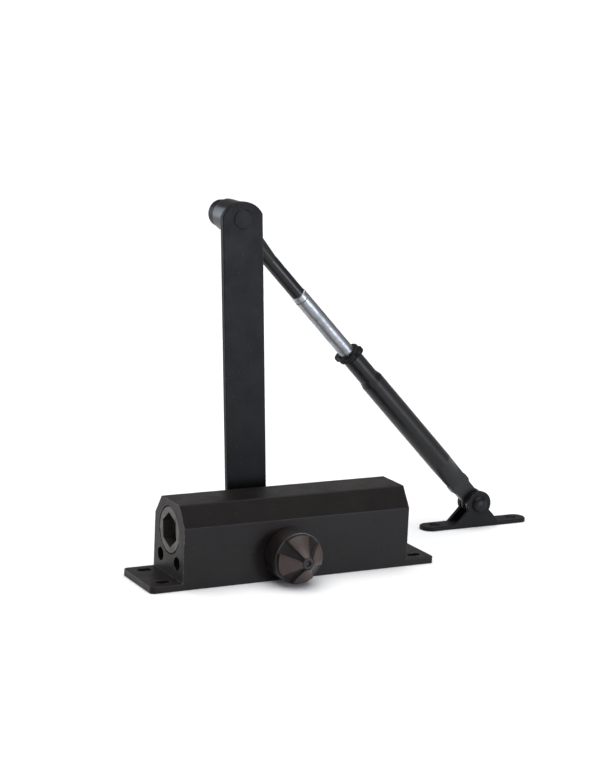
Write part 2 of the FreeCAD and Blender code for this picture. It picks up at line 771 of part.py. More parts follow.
def rack_face():
    """Material taken from under the piston: a flat at the rack's tips and its tooth spaces.

    One space is centred on the pinion, and the rest fill the flat between the two heads.
    """
    pitch = math.pi * size("gear_module")
    slope = math.tan(math.radians(PRESSURE_ANGLE))
    tip = size("rack_tip_height - bore_height")
    root = size("rack_root_height - bore_height")
    middle = size("pinion_height + pitch_radius - bore_height")
    centre = size("pinion_x - piston_left")
    start = size("left_head")
    end = size("piston_length - right_head")
    below = -size("bore_diameter")
    half_space = pitch / 4 + size("rack_backlash") / 2
    tip_half = half_space + (middle - tip) * slope
    root_half = half_space - (root - middle) * slope
    first = math.ceil((start + tip_half + 0.5 - centre) / pitch)
    last = math.floor((end - tip_half - 0.5 - centre) / pitch)
    corners = [FreeCAD.Vector(start, 0, below), FreeCAD.Vector(start, 0, tip)]
    for number in range(first, last + 1):
        x = centre + number * pitch
        corners.append(FreeCAD.Vector(x - tip_half, 0, tip))
        corners.append(FreeCAD.Vector(x - root_half, 0, root))
        corners.append(FreeCAD.Vector(x + root_half, 0, root))
        corners.append(FreeCAD.Vector(x + tip_half, 0, tip))
    corners.append(FreeCAD.Vector(end, 0, tip))
    corners.append(FreeCAD.Vector(end, 0, below))
    return Part.Face(Part.makePolygon(corners + [corners[0]]))


def make_piston():
    """Piston at its home stop: two heads joined by the rack, check valve in the left head."""
    where = "placement(vector(piston_left; 0; bore_height); rotation(vector(1; 0; 0); 0))"
    radius = "bore_radius - running_fit"
    blank = turned_x("piston_blank", [
        ("0", "0"), ("piston_length + guide_length", "0"),
        ("piston_length + guide_length", "guide_diameter / 2 - 1"),
        ("piston_length + guide_length - 1", "guide_diameter / 2"),
        ("piston_length", "guide_diameter / 2"),
        ("piston_length", radius), ("7.5", radius), ("7.5", radius + " - 0.6"),
        ("6", radius + " - 0.6"), ("6", radius), ("0.8", radius),
        ("0", radius + " - 0.8")], where)
    rack = document.addObject("Part::Feature", "rack_cut")
    rack.Shape = rack_face().extrude(FreeCAD.Vector(0, 2 * size("bore_diameter"), 0))
    place(rack, "placement(vector(piston_left; -bore_diameter; bore_height);"
                " rotation(vector(1; 0; 0); 0))")
    oil_way = turned_x("check_cut", [
        ("-1", "0"), ("left_head + 1", "0"), ("left_head + 1", "check_passage / 2"),
        ("check_seat_length + check_chamber_length", "check_passage / 2"),
        ("check_seat_length + check_chamber_length", "check_chamber / 2"),
        ("-1", "check_chamber / 2")], where)
    toothed = document.addObject("Part::Cut", "piston_rack")
    toothed.Base = blank
    toothed.Tool = rack
    piston = document.addObject("Part::Cut", "piston")
    piston.Label = "piston"
    piston.Base = toothed
    piston.Tool = oil_way
    return piston


def make_check_valve():
    """Screwed seat at the piston's left face and the ball that closes it."""
    turned_x("check_seat", [
        ("0", "check_passage / 2"),
        ("check_seat_length - check_cone_run", "check_passage / 2"),
        ("check_seat_length", "check_passage / 2 + check_cone_rise"),
        ("check_seat_length", "check_chamber / 2 - seated_fit"),
        ("0", "check_chamber / 2 - seated_fit")],
        "placement(vector(piston_left; 0; bore_height); rotation(vector(1; 0; 0); 0))")
    ball = document.addObject("Part::Sphere", "check_ball")
    ball.Label = "check_ball"
    drive(ball, Radius="check_ball_diameter / 2")
    off_cone = "check_ball_diameter / 2 + running_fit - check_passage / 2 * cos(cone_angle * 1 deg)"
    centre = ("piston_left + check_seat_length - check_cone_run"
              " + (%s) / sin(cone_angle * 1 deg)" % off_cone)
    place(ball, "placement(vector(%s; 0; bore_height); rotation(vector(0; 1; 0); 0))" % centre)


def make_spring(label, wire, coil, turns):
    """Round-wire compression spring along X between the piston and the right plug."""
    start = "piston_right + (%s) / 2 + 0.05" % wire
    reach = "plug_inner_face - piston_right - (%s) - 0.1" % wire
    spine = document.addObject("Part::Helix", label + "_spine")
    drive(spine, Radius="(%s) / 2" % coil, Height=reach, Pitch="(%s) / (%s)" % (reach, turns))
    section = document.addObject("Part::Circle", label + "_section")
    drive(section, Radius="(%s) / 2" % wire)
    place(section, "placement(vector((%s) / 2; 0; 0); rotation(vector(1; 0; 0); 90))" % coil)
    spring = document.addObject("Part::Sweep", label)
    spring.Label = label
    spring.Sections = [section]
    spring.Spine = (spine, ["Edge1"])
    spring.Solid = True
    spring.Frenet = True
    place(spring, "placement(vector(%s; 0; bore_height); rotation(vector(0; 1; 0); 90))" % start)
    return spring


# ---- main arm and elbow ----

def make_main_arm():
    """Flat bar from the shaft's square to the elbow pin."""
    body = new_body("main_arm")
    sketch = new_sketch(body, "XZ_Plane", "-arm_front")
    half = "arm_width / 2"
    rise = ("arm_length + arm_overhang - arm_end_radius"
            " + sqrt(arm_end_radius ^ 2 - (arm_width / 2) ^ 2)")
    outline(sketch, [
        ("-" + half, "0", half), ("0", "-" + half, half),
        (half, "0"), (half, rise, "arm_end_radius"),
        ("0", "arm_length + arm_overhang", "arm_end_radius"), ("-" + half, rise)])
    pad(body, sketch, "arm_thickness", reverse=True)
    dress(body, "Chamfer", "arm_edge", lambda edge: not is_straight_along(edge, 1))
    holes = new_sketch(body, "XZ_Plane", "-arm_front")
    square = "shaft_square / 2 + running_fit"
    rectangle(holes, "-(%s)" % square, "-(%s)" % square, square, square)
    circle(holes, "0", "arm_length", "elbow_pin_diameter / 2 + seated_fit")
    pocket(body, holes, "arm_thickness * 3", symmetric=True)
    place(body, MAIN_ARM)
    return body


def make_arm_screw():
    """Washer and hexagon screw that hold the arm on the shaft."""
    head = "arm_back + arm_washer_thickness"
    ring_y("arm_washer", "arm_screw_diameter / 2 + 0.2", "arm_washer_diameter / 2",
           "arm_back", head, SHAFT_AXIS)
    shank = "arm_screw_diameter / 2 - seated_fit"
    body = turned_y("arm_screw", [
        ("0", "arm_back - arm_screw_reach + 1"), (shank, "arm_back - arm_screw_reach + 1"),
        (shank, head), ("0", head)], MAIN_ARM)
    sketch = new_sketch(body, "XZ_Plane", "-(%s)" % head)
    hexagon(sketch, "0", "0", "arm_screw_flats")
    pad(body, sketch, "arm_screw_head", reverse=True)
    return body


def make_elbow():
    """Riveted elbow pin with a thrust washer and a turned end cap."""
    pin = "elbow_pin_diameter / 2"
    rivet = "elbow_rivet_diameter / 2"
    end = "elbow_cap_start + elbow_cap_width * 0.7"
    turned_y("elbow_pin", [
        ("0", "arm_front - elbow_rivet_height"),
        (rivet + " - elbow_rivet_height", "arm_front - elbow_rivet_height"),
        (rivet, "arm_front"), (pin, "arm_front"), (pin, end), ("0", end)], ELBOW_AXIS)
    ring_y("elbow_washer", pin + " + seated_fit", "elbow_washer_diameter / 2",
           "arm_back", "arm_back + elbow_washer_thickness", ELBOW_AXIS)
    cap = "elbow_cap_diameter / 2"
    back = "elbow_cap_start + elbow_cap_width"
    bottom = end + " + seated_fit"
    turned_y("elbow_cap", [
        (pin + " + seated_fit", "elbow_cap_start"), (cap + " - 0.6", "elbow_cap_start"),
        (cap, "elbow_cap_start + 0.6"), (cap, back + " - 1.6"), (cap + " - 1.6", back),
        ("0", back), ("0", bottom), (pin + " + seated_fit", bottom)], ELBOW_AXIS)


def make_rod_end():
    """Forged eye on the elbow pin with its tapered neck."""
    eye = turned_y("rod_end_eye", [
        ("0", "eye_start"), ("eye_diameter / 2 - 0.8", "eye_start"),
        ("eye_diameter / 2", "eye_start + 0.8"),
        ("eye_diameter / 2", "eye_start + eye_width - 0.8"),
        ("eye_diameter / 2 - 0.8", "eye_start + eye_width"),
        ("0", "eye_start + eye_width")], ELBOW_AXIS)
    neck = turned_x("rod_end_neck", [
        ("2", "0"), ("neck_end", "0"), ("neck_end", "neck_diameter / 2 - 0.6"),
        ("neck_end - 0.6", "neck_diameter / 2"),
        ("neck_taper_end", "neck_diameter / 2"),
        ("eye_diameter / 2 + 1.5", "neck_root_diameter / 2"),
        ("2", "neck_root_diameter / 2")], FOREARM)
    forging = document.addObject("Part::Fuse", "rod_end_forging")
    forging.Base = eye
    forging.Tool = neck
    bore = turned_y("rod_end_bore", [
        ("0", "eye_start - 1"), ("elbow_pin_diameter / 2 + running_fit", "eye_start - 1"),
        ("elbow_pin_diameter / 2 + running_fit", "eye_start + eye_width + 1"),
        ("0", "eye_start + eye_width + 1")], ELBOW_AXIS)
    rod_end = document.addObject("Part::Cut", "rod_end")
    rod_end.Label = "rod_end"
    rod_end.Base = forging
    rod_end.Tool = bore
    return rod_end


# ---- forearm ----

def make_adjusting_rod():
    """Plated rod butted to the forged neck, with a turned ring groove near it."""
    groove = "neck_end + rod_groove_place"
    low = "rod_radius - rod_groove_depth"
    end = "rod_end_place"
    return turned_x("adjusting_rod", [
        ("neck_end", "0"), (end, "0"), (end, "rod_radius - 1"), (end + " - 1", "rod_radius"),
        (groove + " + rod_groove_width", "rod_radius"), (groove + " + rod_groove_width", low),
        (groove, low), (groove, "rod_radius"),
        ("neck_end + 0.6", "rod_radius"), ("neck_end", "rod_radius - 0.6")], FOREARM)


def make_lock_nut():
    """Round lock nut with two lugs for the thumb, against the tube's mouth."""
    body = new_body("lock_nut")
    barrel = new_sketch(body, "YZ_Plane", "nut_place")
    circle(barrel, "0", "0", "nut_diameter / 2")
    pad(body, barrel, "nut_thickness")
    lugs = new_sketch(body, "YZ_Plane", "nut_place")
    long_hole(lugs, "0", "0", "nut_span", "nut_lug_width")
    pad(body, lugs, "nut_thickness")
    dress(body, "Fillet", "nut_thickness * 0.16",
          lambda edge: not is_straight_along(edge, 0)
          and (is_near(edge.CenterOfMass.x, "nut_place")
               or is_near(edge.CenterOfMass.x, "nut_place + nut_thickness")))
    hole = new_sketch(body, "YZ_Plane", "nut_place")
    circle(hole, "0", "0", "rod_radius + running_fit")
    pocket(body, hole, "nut_thickness * 3", symmetric=True)
    place(body, FOREARM + " * placement(vector(0; 0; 0); rotation(vector(1; 0; 0); nut_turn))")
    return body


def make_forearm_tube():
    """Swaged tube whose lower end is squeezed flat into the shoe's tang."""
    body = new_body("forearm_tube")
    profile = new_sketch(body, "XY_Plane")
    neck = "tube_neck_diameter / 2"
    wide = "tube_diameter / 2"
    shoulder = "tube_start + tube_neck_length"
    outline(profile, [
        ("tube_start", "0"), ("tube_end", "0"), ("tube_end", wide),
        (shoulder + " + 5", wide), (shoulder, neck), ("tube_start + 0.8", neck),
        ("tube_start", neck + " - 0.8")])
    spin(body, "Revolution", profile, "H_Axis")

    round_section = new_sketch(body, "YZ_Plane", "tube_end")
    circle(round_section, "0", "0", wide)
    flat_section = new_sketch(body, "YZ_Plane", "tube_end + squeeze_length")
    long_hole_upright(flat_section, "squeeze_width", "tang_thickness + 0.8")
    loft = body.newObject("PartDesign::AdditiveLoft", "forearm_tube_squeeze")
    loft.Profile = round_section
    loft.Sections = [flat_section]
    document.recompute()

    tang = new_sketch(body, "XZ_Plane")
    half = "tang_width / 2"
    lobe = "squeeze_width / 2"
    start = "tube_end + squeeze_length"
    outline(tang, [
        (start + " - 8", "-(%s) * 0.8" % lobe), (start + " - 2", "-(%s)" % lobe),
        (start + " + 3", "-(%s)" % lobe), (start + " + 6", "-(%s)" % half),
        ("forearm_length", "-(%s)" % half, half), ("forearm_length + " + half, "0", half),
        ("forearm_length", half), (start + " + 6", half),
        (start + " + 3", lobe), (start + " - 2", lobe),
        (start + " - 8", "(%s) * 0.8" % lobe)])
    pad(body, tang, "tang_thickness", symmetric=True)

    hole = new_sketch(body, "XZ_Plane")
    circle(hole, "forearm_length", "0", "bolt_diameter / 2 + running_fit")
    pocket(body, hole, "tang_thickness * 3", symmetric=True)

    hollow = new_sketch(body, "XY_Plane")
    mouth = "rod_radius + running_fit"
    inside = "tube_diameter / 2 - tube_wall"
    outline(hollow, [
        ("tube_start - 1", "0"), ("tube_end", "0"), ("tube_end - tube_floor", inside),
        (shoulder + " + 5", inside), (shoulder + " + 2", mouth), ("tube_start - 1", mouth)])
    spin(body, "Groove", hollow, "H_Axis")
    place(body, FOREARM)
    return body


def long_hole_upright(sketch, length, width):
    """A round-ended outline along the sketch's second axis, centred on the origin."""
    half = "((%s) - (%s)) / 2" % (length, width)
    radius = "(%s) / 2" % width
    outline(sketch, [
        (radius, "-" + half), (radius, half, radius),
        ("0", "%s + %s" % (half, radius), radius), ("-" + radius, half),
        ("-" + radius, "-" + half, radius), ("0", "-(%s) - %s" % (half, radius), radius)])


# ---- shoe ----

def make_shoe_bracket():
    """Plate with two screw holes and a pair of ears for the pivot bolt."""
    body = new_body("shoe_bracket")
    plate = new_sketch(body, "XY_Plane")
    long_hole(plate, "0", "0", "shoe_length", "shoe_width")
    pad(body, plate, "shoe_thickness")
    dress(body, "Fillet", "shoe_thickness * 0.35",
          lambda edge: is_near(edge.CenterOfMass.z, "shoe_thickness"))

    for offset in ("ear_inside", "-(ear_inside + ear_thickness)"):
        ear = new_sketch(body, "XZ_Plane", offset)
        ear_outline(ear)
        pad(body, ear, "ear_thickness")

    holes = new_sketch(body, "XY_Plane")
    for sign in ("-", ""):
        circle(holes, sign + "(shoe_hole_spread / 2)", "0", "shoe_hole_diameter / 2")
    pocket(body, holes, "shoe_thickness * 3", symmetric=True)
    dress(body, "Chamfer", "shoe_countersink",
          lambda edge: isinstance(edge.Curve, Part.Circle)
          and is_near(edge.CenterOfMass.z, "shoe_thickness")
          and is_near(abs(edge.CenterOfMass.x), "shoe_hole_spread / 2"))
    pivot = new_sketch(body, "XZ_Plane")
    circle(pivot, "0", "pivot_height", "bolt_diameter / 2 + seated_fit")
    pocket(body, pivot, "shoe_width * 2", symmetric=True)
    place(body, SHOE)
    return body


def ear_outline(sketch):
    """Arch-shaped ear: flanks that run tangent from the plate to the round top."""
    across = "(ear_base / 2)"
    rise = "(pivot_height - shoe_thickness * 0.5)"
    reach = "sqrt(%s ^ 2 + %s ^ 2)" % (across, rise)
    lean = "(atan(%s / %s) + asin(ear_radius / %s) - 90 deg)" % (rise, across, reach)
    side = "ear_radius * cos(%s)" % lean
    height = "pivot_height + ear_radius * sin(%s)" % lean
    bottom = "shoe_thickness * 0.5"
    outline(sketch, [
        ("-" + across, bottom), (across, bottom), (side, height, "ear_radius"),
        ("0", "pivot_height + ear_radius", "ear_radius"), ("-" + side, height)])


def make_shoe_bolt():
    """Domed bolt, plated bushes each side of the tang, and the nut."""
    where = "placement(vector(shoe_x; forearm_plane; pivot_height); rotation(vector(0; 1; 0); 0))"
    shank = "bolt_diameter / 2"
    head = "bolt_head_diameter / 2"
    face = "-(shoe_width / 2)"
    end = "shoe_width / 2 + nut_height + 1"
    turned_y("shoe_bolt", [
        ("0", face + " - bolt_head_height"),
        (head + " * 0.55", face + " - bolt_head_height * 0.9"),
        (head + " * 0.88", face + " - bolt_head_height * 0.6"),
        (head, face + " - bolt_head_height * 0.25"), (head, face), (shank, face),
        (shank, end + " - 0.8"), (shank + " - 0.8", end), ("0", end)], where)
    for label, sign in (("bush_front", "-"), ("bush_rear", "")):
        ring_y(label, shank + " + seated_fit", "bush_diameter / 2",
               "%s(tang_thickness / 2 + bush_gap)" % sign, "%s(ear_inside)" % sign, where)
    nut = new_body("shoe_nut")
    sketch = new_sketch(nut, "XZ_Plane", "-shoe_width / 2")
    hexagon(sketch, "0", "0", "nut_flats", "14")
    circle(sketch, "0", "0", shank + " + seated_fit")
    pad(nut, sketch, "nut_height", reverse=True)
    place(nut, where)


# ---- build, check and write ----

NODES = [
    "body_casting", "end_plug_left", "end_plug_right", "plug_seal_left", "plug_seal_right",
    "closing_valve", "closing_valve_seal", "latching_valve", "latching_valve_seal",
    "bearing_front", "bearing_rear", "gland_front", "gland_rear",
    "shaft_seal_front", "shaft_seal_rear", "pinion_cap", "pinion_shaft", "piston",
    "check_seat", "check_ball", "outer_spring", "inner_spring", "main_arm", "arm_washer",
    "arm_screw", "elbow_pin", "elbow_washer", "elbow_cap", "rod_end", "adjusting_rod",
    "lock_nut", "forearm_tube", "shoe_bracket", "shoe_bolt", "bush_front", "bush_rear",
    "shoe_nut",
]


def build():
    write_sheet()
    make_body_casting()
    make_left_plug()
    make_right_plug()
    make_plug_seals()
    make_valve("closing_valve", "-")
    make_valve("latching_valve", "")
    make_bearings()
    make_gland("gland_front", "-")
    make_gland("gland_rear", "")
    make_shaft_seals()
    make_pinion_cap()
    make_pinion_shaft()
    make_piston()
    make_check_valve()
    make_spring("outer_spring", "outer_wire", "outer_coil", "outer_turns")
    make_spring("inner_spring", "inner_wire", "inner_coil", "inner_turns")
    make_main_arm()
    make_arm_screw()
    make_elbow()
    make_rod_end()
    make_adjusting_rod()
    make_lock_nut()
    make_forearm_tube()
    make_shoe_bracket()
    make_shoe_bolt()
    document.recompute()


def check():
    """Stop if any object failed or any node has no valid solid."""
    for item in document.Objects:
        if "Invalid" in item.State or "Error" in item.State:
            raise RuntimeError("failed object: " + item.Label)
    for name in NODES:
        shape = document.getObjectsByLabel(name)[0].Shape
        if shape.isNull() or not shape.isValid() or not shape.Solids:
            raise RuntimeError("no valid solid: " + name)


def write():
    os.makedirs("parts", exist_ok=True)
    for name in NODES:
        document.getObjectsByLabel(name)[0].Shape.exportStep("parts/%s.step" % name)


build()
check()
write()
for axis_name in ("elbow_x", "elbow_height", "forearm_slope", "shoe_x", "pitch_radius"):
    print(axis_name, round(size(axis_name), 6))
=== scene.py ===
import json
import logging
import math
from dataclasses import dataclass, field
from enum import Enum
from typing import Any, Callable, Optional

import bpy
from mathutils import Matrix, Vector


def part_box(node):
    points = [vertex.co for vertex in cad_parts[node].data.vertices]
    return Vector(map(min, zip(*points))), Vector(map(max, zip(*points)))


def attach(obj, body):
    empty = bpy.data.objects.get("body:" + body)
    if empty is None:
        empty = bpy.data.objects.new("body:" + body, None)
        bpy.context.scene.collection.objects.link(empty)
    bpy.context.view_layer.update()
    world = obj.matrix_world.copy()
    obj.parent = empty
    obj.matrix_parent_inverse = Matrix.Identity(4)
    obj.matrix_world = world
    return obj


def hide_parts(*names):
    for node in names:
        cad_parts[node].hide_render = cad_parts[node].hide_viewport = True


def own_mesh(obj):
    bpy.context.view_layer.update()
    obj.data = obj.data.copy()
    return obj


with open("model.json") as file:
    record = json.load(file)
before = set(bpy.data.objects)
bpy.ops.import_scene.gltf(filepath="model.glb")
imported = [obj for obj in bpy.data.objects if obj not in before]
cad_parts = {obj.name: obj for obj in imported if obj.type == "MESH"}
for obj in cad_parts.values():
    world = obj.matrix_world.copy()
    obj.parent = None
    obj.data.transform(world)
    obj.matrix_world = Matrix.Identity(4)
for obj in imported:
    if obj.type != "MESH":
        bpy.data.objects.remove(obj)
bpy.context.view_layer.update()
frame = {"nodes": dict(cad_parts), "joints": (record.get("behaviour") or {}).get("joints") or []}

log = logging.getLogger("door_closer")

MM = 0.001
MERGE_DISTANCE = 0.01 * MM
FACES_UP = 0.9
FACES_SIDEWAYS = 0.1


def joint_named(name: str) -> dict[str, Any]:
    """The frame's joint of that name."""
    return next(joint for joint in frame["joints"] if joint["name"] == name)


# ---------------------------------------------------------------- colours and nodes


def srgb(hex_colour: str) -> tuple[float, float, float, float]:
    """Turns a #rrggbb colour into Blender's linear colour.

    Args:
        hex_colour: The sRGB colour as text.

    Returns:
        Linear red, green, blue and an alpha of one.
    """
    channels = [int(hex_colour[place:place + 2], 16) / 255 for place in (1, 3, 5)]
    linear = [c / 12.92 if c <= 0.04045 else ((c + 0.055) / 1.055) ** 2.4 for c in channels]
    return linear[0], linear[1], linear[2], 1.0


def per_metre(size_mm: float) -> float:
    """The texture scale whose features are about size_mm wide."""
    return 1.0 / (size_mm * MM)


def add(tree: bpy.types.NodeTree, kind: str, inputs: Optional[dict[Any, Any]] = None,
        **settings: Any) -> bpy.types.Node:
    """Adds a node, sets it up and links it.

    Args:
        tree: The node tree to add to.
        kind: The node's class name without its ShaderNode prefix.
        inputs: Socket name or number to a value, or to an output socket to link from.
        **settings: Properties of the node itself.

    Returns:
        The new node.
    """
    node = tree.nodes.new("ShaderNode" + kind)
    for name, value in settings.items():
        setattr(node, name, value)
    for name, value in (inputs or {}).items():
        if isinstance(value, bpy.types.NodeSocket):
            tree.links.new(value, node.inputs[name])
        else:
            node.inputs[name].default_value = value
    return node


def ramp(tree: bpy.types.NodeTree, source: bpy.types.NodeSocket, low: float, high: float,
         to_low: float = 0.0, to_high: float = 1.0) -> bpy.types.NodeSocket:
    """Maps a value's range to another, clamped at both ends.

    Args:
        tree: The node tree.
        source: The value.
        low: The value that becomes to_low.
        high: The value that becomes to_high.
        to_low: Result at and beyond low.
        to_high: Result at and beyond high.

    Returns:
        The mapped value's socket.
    """
    node = add(tree, "MapRange", {"Value": source, "From Min": low, "From Max": high,
                                  "To Min": to_low, "To Max": to_high}, clamp=True)
    return node.outputs["Result"]


def blend(tree: bpy.types.NodeTree, share: bpy.types.NodeSocket, first: Any,
          second: Any) -> bpy.types.NodeSocket:
    """Mixes two colours.

    Args:
        tree: The node tree.
        share: How much of the second colour shows, from 0 to 1.
        first: A colour or a colour socket.
        second: A colour or a colour socket.

    Returns:
        The mixed colour's socket.
    """
    node = add(tree, "Mix", {0: share, 6: first, 7: second}, data_type="RGBA")
    return node.outputs[2]


def noise(tree: bpy.types.NodeTree, vector: bpy.types.NodeSocket, size_mm: float,
          detail: float = 3.0, roughness: float = 0.5) -> bpy.types.NodeSocket:
    """Smooth noise whose features are about size_mm wide.

    Args:
        tree: The node tree.
        vector: The coordinates.
        size_mm: Feature size in millimetres.
        detail: Number of finer octaves.
        roughness: Strength of the finer octaves.

    Returns:
        The noise value's socket, from 0 to 1.
    """
    node = add(tree, "TexNoise", {"Vector": vector, "Scale": per_metre(size_mm),
                                  "Detail": detail, "Roughness": roughness})
    return node.outputs[0]


# ---------------------------------------------------------------- finishes


@dataclass(frozen=True)
class Finish:
    """A real surface: what it is made of and how its face was made."""

    name: str
    colour: str
    second_colour: str
    roughness: tuple[float, float]
    metallic: float = 0.0
    specular: float = 0.5

    def build(self) -> bpy.types.Material:
        """Makes the material.

        Returns:
            The finished node material.
        """
        material = bpy.data.materials.new(self.name)
        material.use_nodes = True
        tree = material.node_tree
        tree.nodes.clear()
        shader = add(tree, "BsdfPrincipled", {"Metallic": self.metallic,
                                             "Specular IOR Level": self.specular})
        output = add(tree, "OutputMaterial")
        tree.links.new(shader.outputs[0], output.inputs["Surface"])
        place = add(tree, "TexCoord").outputs["Object"]
        self.dress(tree, shader, place)
        return material

    def dress(self, tree: bpy.types.NodeTree, shader: bpy.types.Node,
              place: bpy.types.NodeSocket) -> None:
        """Adds this finish's own detail.

        Args:
            tree: The material's node tree.
            shader: The surface shader.
            place: Object coordinates in metres.
        """
        raise NotImplementedError

    def bump(self, tree: bpy.types.NodeTree, shader: bpy.types.Node,
             height: bpy.types.NodeSocket, height_mm: float, strength: float = 1.0) -> None:
        """Drives the shader's normal from a height.

        Args:
            tree: The material's node tree.
            shader: The surface shader.
            height: Height from 0 to 1.
            height_mm: What a height of 1 stands for.
            strength: How much of the bump shows.
        """
        node = add(tree, "Bump", {"Height": height, "Distance": height_mm * MM,
                                  "Strength": strength})
        tree.links.new(node.outputs["Normal"], shader.inputs["Normal"])

    def vary_roughness(self, tree: bpy.types.NodeTree, shader: bpy.types.Node,
                       pattern: bpy.types.NodeSocket, low: float, high: float) -> None:
        """Spreads the finish's two roughnesses over a pattern.

        Args:
            tree: The material's node tree.
            shader: The surface shader.
            pattern: The pattern to follow.
            low: The pattern's value at the first roughness.
            high: The pattern's value at the second roughness.
        """
        first, second = self.roughness
        tree.links.new(ramp(tree, pattern, low, high, first, second),
                       shader.inputs["Roughness"])

    def worn_and_highlit_edge(self, tree: bpy.types.NodeTree, place: bpy.types.NodeSocket,
                  radius_mm: float) -> bpy.types.NodeSocket:
        """A mask that is 1 along sharp edges, broken up as handling wears them; the colour laid on
        it is edge wearing and, on the body, a painted highlight.

        Args:
            tree: The material's node tree.
            place: Object coordinates.
            radius_mm: How far from an edge the wearing and painted highlight reach.

        Returns:
            The mask's socket.
        """
        rounded = add(tree, "Bevel", {"Radius": radius_mm * MM}, samples=6).outputs["Normal"]
        true = add(tree, "NewGeometry").outputs["Normal"]
        alike = add(tree, "VectorMath", {0: rounded, 1: true}, operation="DOT_PRODUCT")
        edge = ramp(tree, alike.outputs["Value"], low=0.995, high=0.9)
        patches = noise(tree, place, size_mm=3.0, detail=5.0, roughness=0.65)
        broken = ramp(tree, patches, low=0.42, high=0.62)
        return add(tree, "Math", {0: edge, 1: broken}, operation="MULTIPLY").outputs[0]


@dataclass(frozen=True)
class SprayedPaint(Finish):
    """Satin paint sprayed on metal: fine orange peel, dust nibs, thin wearing and painted
    highlight at the edges.
    """

    worn_and_highlight_colour: str = "#6d6660"
    peel_mm: float = 1.1
    peel_height_mm: float = 0.03
    wear_and_highlight_mm: float = 0.5
    wear_and_highlight: float = 0.35
    drift_mm: float = 38.0
    nib_mm: float = 0.9
    smear_mm: float = 14.0

    def dress(self, tree: bpy.types.NodeTree, shader: bpy.types.Node,
              place: bpy.types.NodeSocket) -> None:
        """Adds drift of colour, orange peel, dust nibs, and edge wearing with painted highlight.

        Args:
            tree: The material's node tree.
            shader: The surface shader.
            place: Object coordinates in metres.
        """
        clouds = noise(tree, place, self.drift_mm, detail=4.0, roughness=0.6)
        drift = ramp(tree, clouds, low=0.35, high=0.68)
        colour = blend(tree, drift, srgb(self.colour), srgb(self.second_colour))
        dust = noise(tree, place, self.nib_mm, detail=2.0)
        nibs = ramp(tree, dust, low=0.68, high=0.8, to_high=0.35)
        colour = blend(tree, nibs, colour, srgb(self.worn_and_highlight_colour))
        # Lighter colour along sharp edges: edge wearing, made strong and wide on the body as a
        # painted highlight line.
        edge = self.worn_and_highlit_edge(tree, place, self.wear_and_highlight_mm)
        worn_and_highlit = add(tree, "Math", {0: edge, 1: self.wear_and_highlight}, operation="MULTIPLY").outputs[0]
        colour = blend(tree, worn_and_highlit, colour, srgb(self.worn_and_highlight_colour))
        tree.links.new(colour, shader.inputs["Base Color"])
        smears = noise(tree, place, self.smear_mm, detail=5.0, roughness=0.62)
        self.vary_roughness(tree, shader, smears, 0.3, 0.72)
        peel = noise(tree, place, self.peel_mm, detail=2.0)
        self.bump(tree, shader, peel, self.peel_height_mm)


@dataclass(frozen=True)
class CastPaint(SprayedPaint):
    """Paint over a die casting: the mould's faint grain and flow marks show through it."""

    grain_mm: float = 0.7
    flow_mm: float = 22.0
    grain_height: float = 1.3
    grain_strength: float = 0.8

    def dress(self, tree: bpy.types.NodeTree, shader: bpy.types.Node,
              place: bpy.types.NodeSocket) -> None:
        """Adds the paint's colours, edge wearing and painted edge highlight, then shapes its
        surface by the casting's grain.

        Args:
            tree: The material's node tree.
            shader: The surface shader.
            place: Object coordinates in metres.
        """
        super().dress(tree, shader, place)
        grain = add(tree, "TexVoronoi", {"Vector": place, "Scale": per_metre(self.grain_mm)})
        flow = noise(tree, place, self.flow_mm, roughness=0.7)
        rough = add(tree, "Math", {0: grain.outputs["Distance"], 1: flow}, operation="ADD")
        self.bump(tree, shader, rough.outputs[0], self.peel_height_mm * self.grain_height,
                  self.grain_strength)


@dataclass(frozen=True)
class TurnedMetal(Finish):
    """Bare or plated metal turned in a lathe: fine rings round the piece's axis."""

    axis: tuple[float, float, float] = (0.0, 1.0, 0.0)
    ring_mm: float = 0.35
    ring_height_mm: float = 0.012
    stain_mm: float = 7.0

    def dress(self, tree: bpy.types.NodeTree, shader: bpy.types.Node,
              place: bpy.types.NodeSocket) -> None:
        """Adds tool rings along the axis and stains.

        Args:
            tree: The material's node tree.
            shader: The surface shader.
            place: Object coordinates in metres.
        """
        along = add(tree, "VectorMath", {0: place, 1: self.axis}, operation="DOT_PRODUCT")
        line = add(tree, "CombineXYZ", {"X": along.outputs["Value"]}).outputs[0]
        rings = noise(tree, line, self.ring_mm, roughness=0.6)
        stain = noise(tree, place, self.stain_mm, detail=5.0, roughness=0.62)
        share = ramp(tree, stain, low=0.4, high=0.68, to_high=0.8)
        colour = blend(tree, share, srgb(self.colour), srgb(self.second_colour))
        tint = ramp(tree, rings, low=0.3, high=0.7, to_high=0.4)
        colour = blend(tree, tint, colour, srgb(self.second_colour))
        tree.links.new(colour, shader.inputs["Base Color"])
        self.vary_roughness(tree, shader, stain, 0.3, 0.7)
        self.bump(tree, shader, rings, self.ring_height_mm)


@dataclass(frozen=True)
class Rubber(Finish):
    """Black nitrile seal: dull, with a little bloom."""

    bloom_mm: float = 5.0
    grain_mm: float = 0.5
    grain_height_mm: float = 0.02

    def dress(self, tree: bpy.types.NodeTree, shader: bpy.types.Node,
              place: bpy.types.NodeSocket) -> None:
        """Adds grey bloom and a soft grain.

        Args:
            tree: The material's node tree.
            shader: The surface shader.
            place: Object coordinates in metres.
        """
        clouds = noise(tree, place, self.bloom_mm, detail=4.0)
        bloom = ramp(tree, clouds, low=0.45, high=0.75, to_high=0.5)
        colour = blend(tree, bloom, srgb(self.colour), srgb(self.second_colour))
        tree.links.new(colour, shader.inputs["Base Color"])
        self.vary_roughness(tree, shader, bloom, 0.0, 0.5)
        grain = noise(tree, place, self.grain_mm, detail=2.0)
        self.bump(tree, shader, grain, self.grain_height_mm)


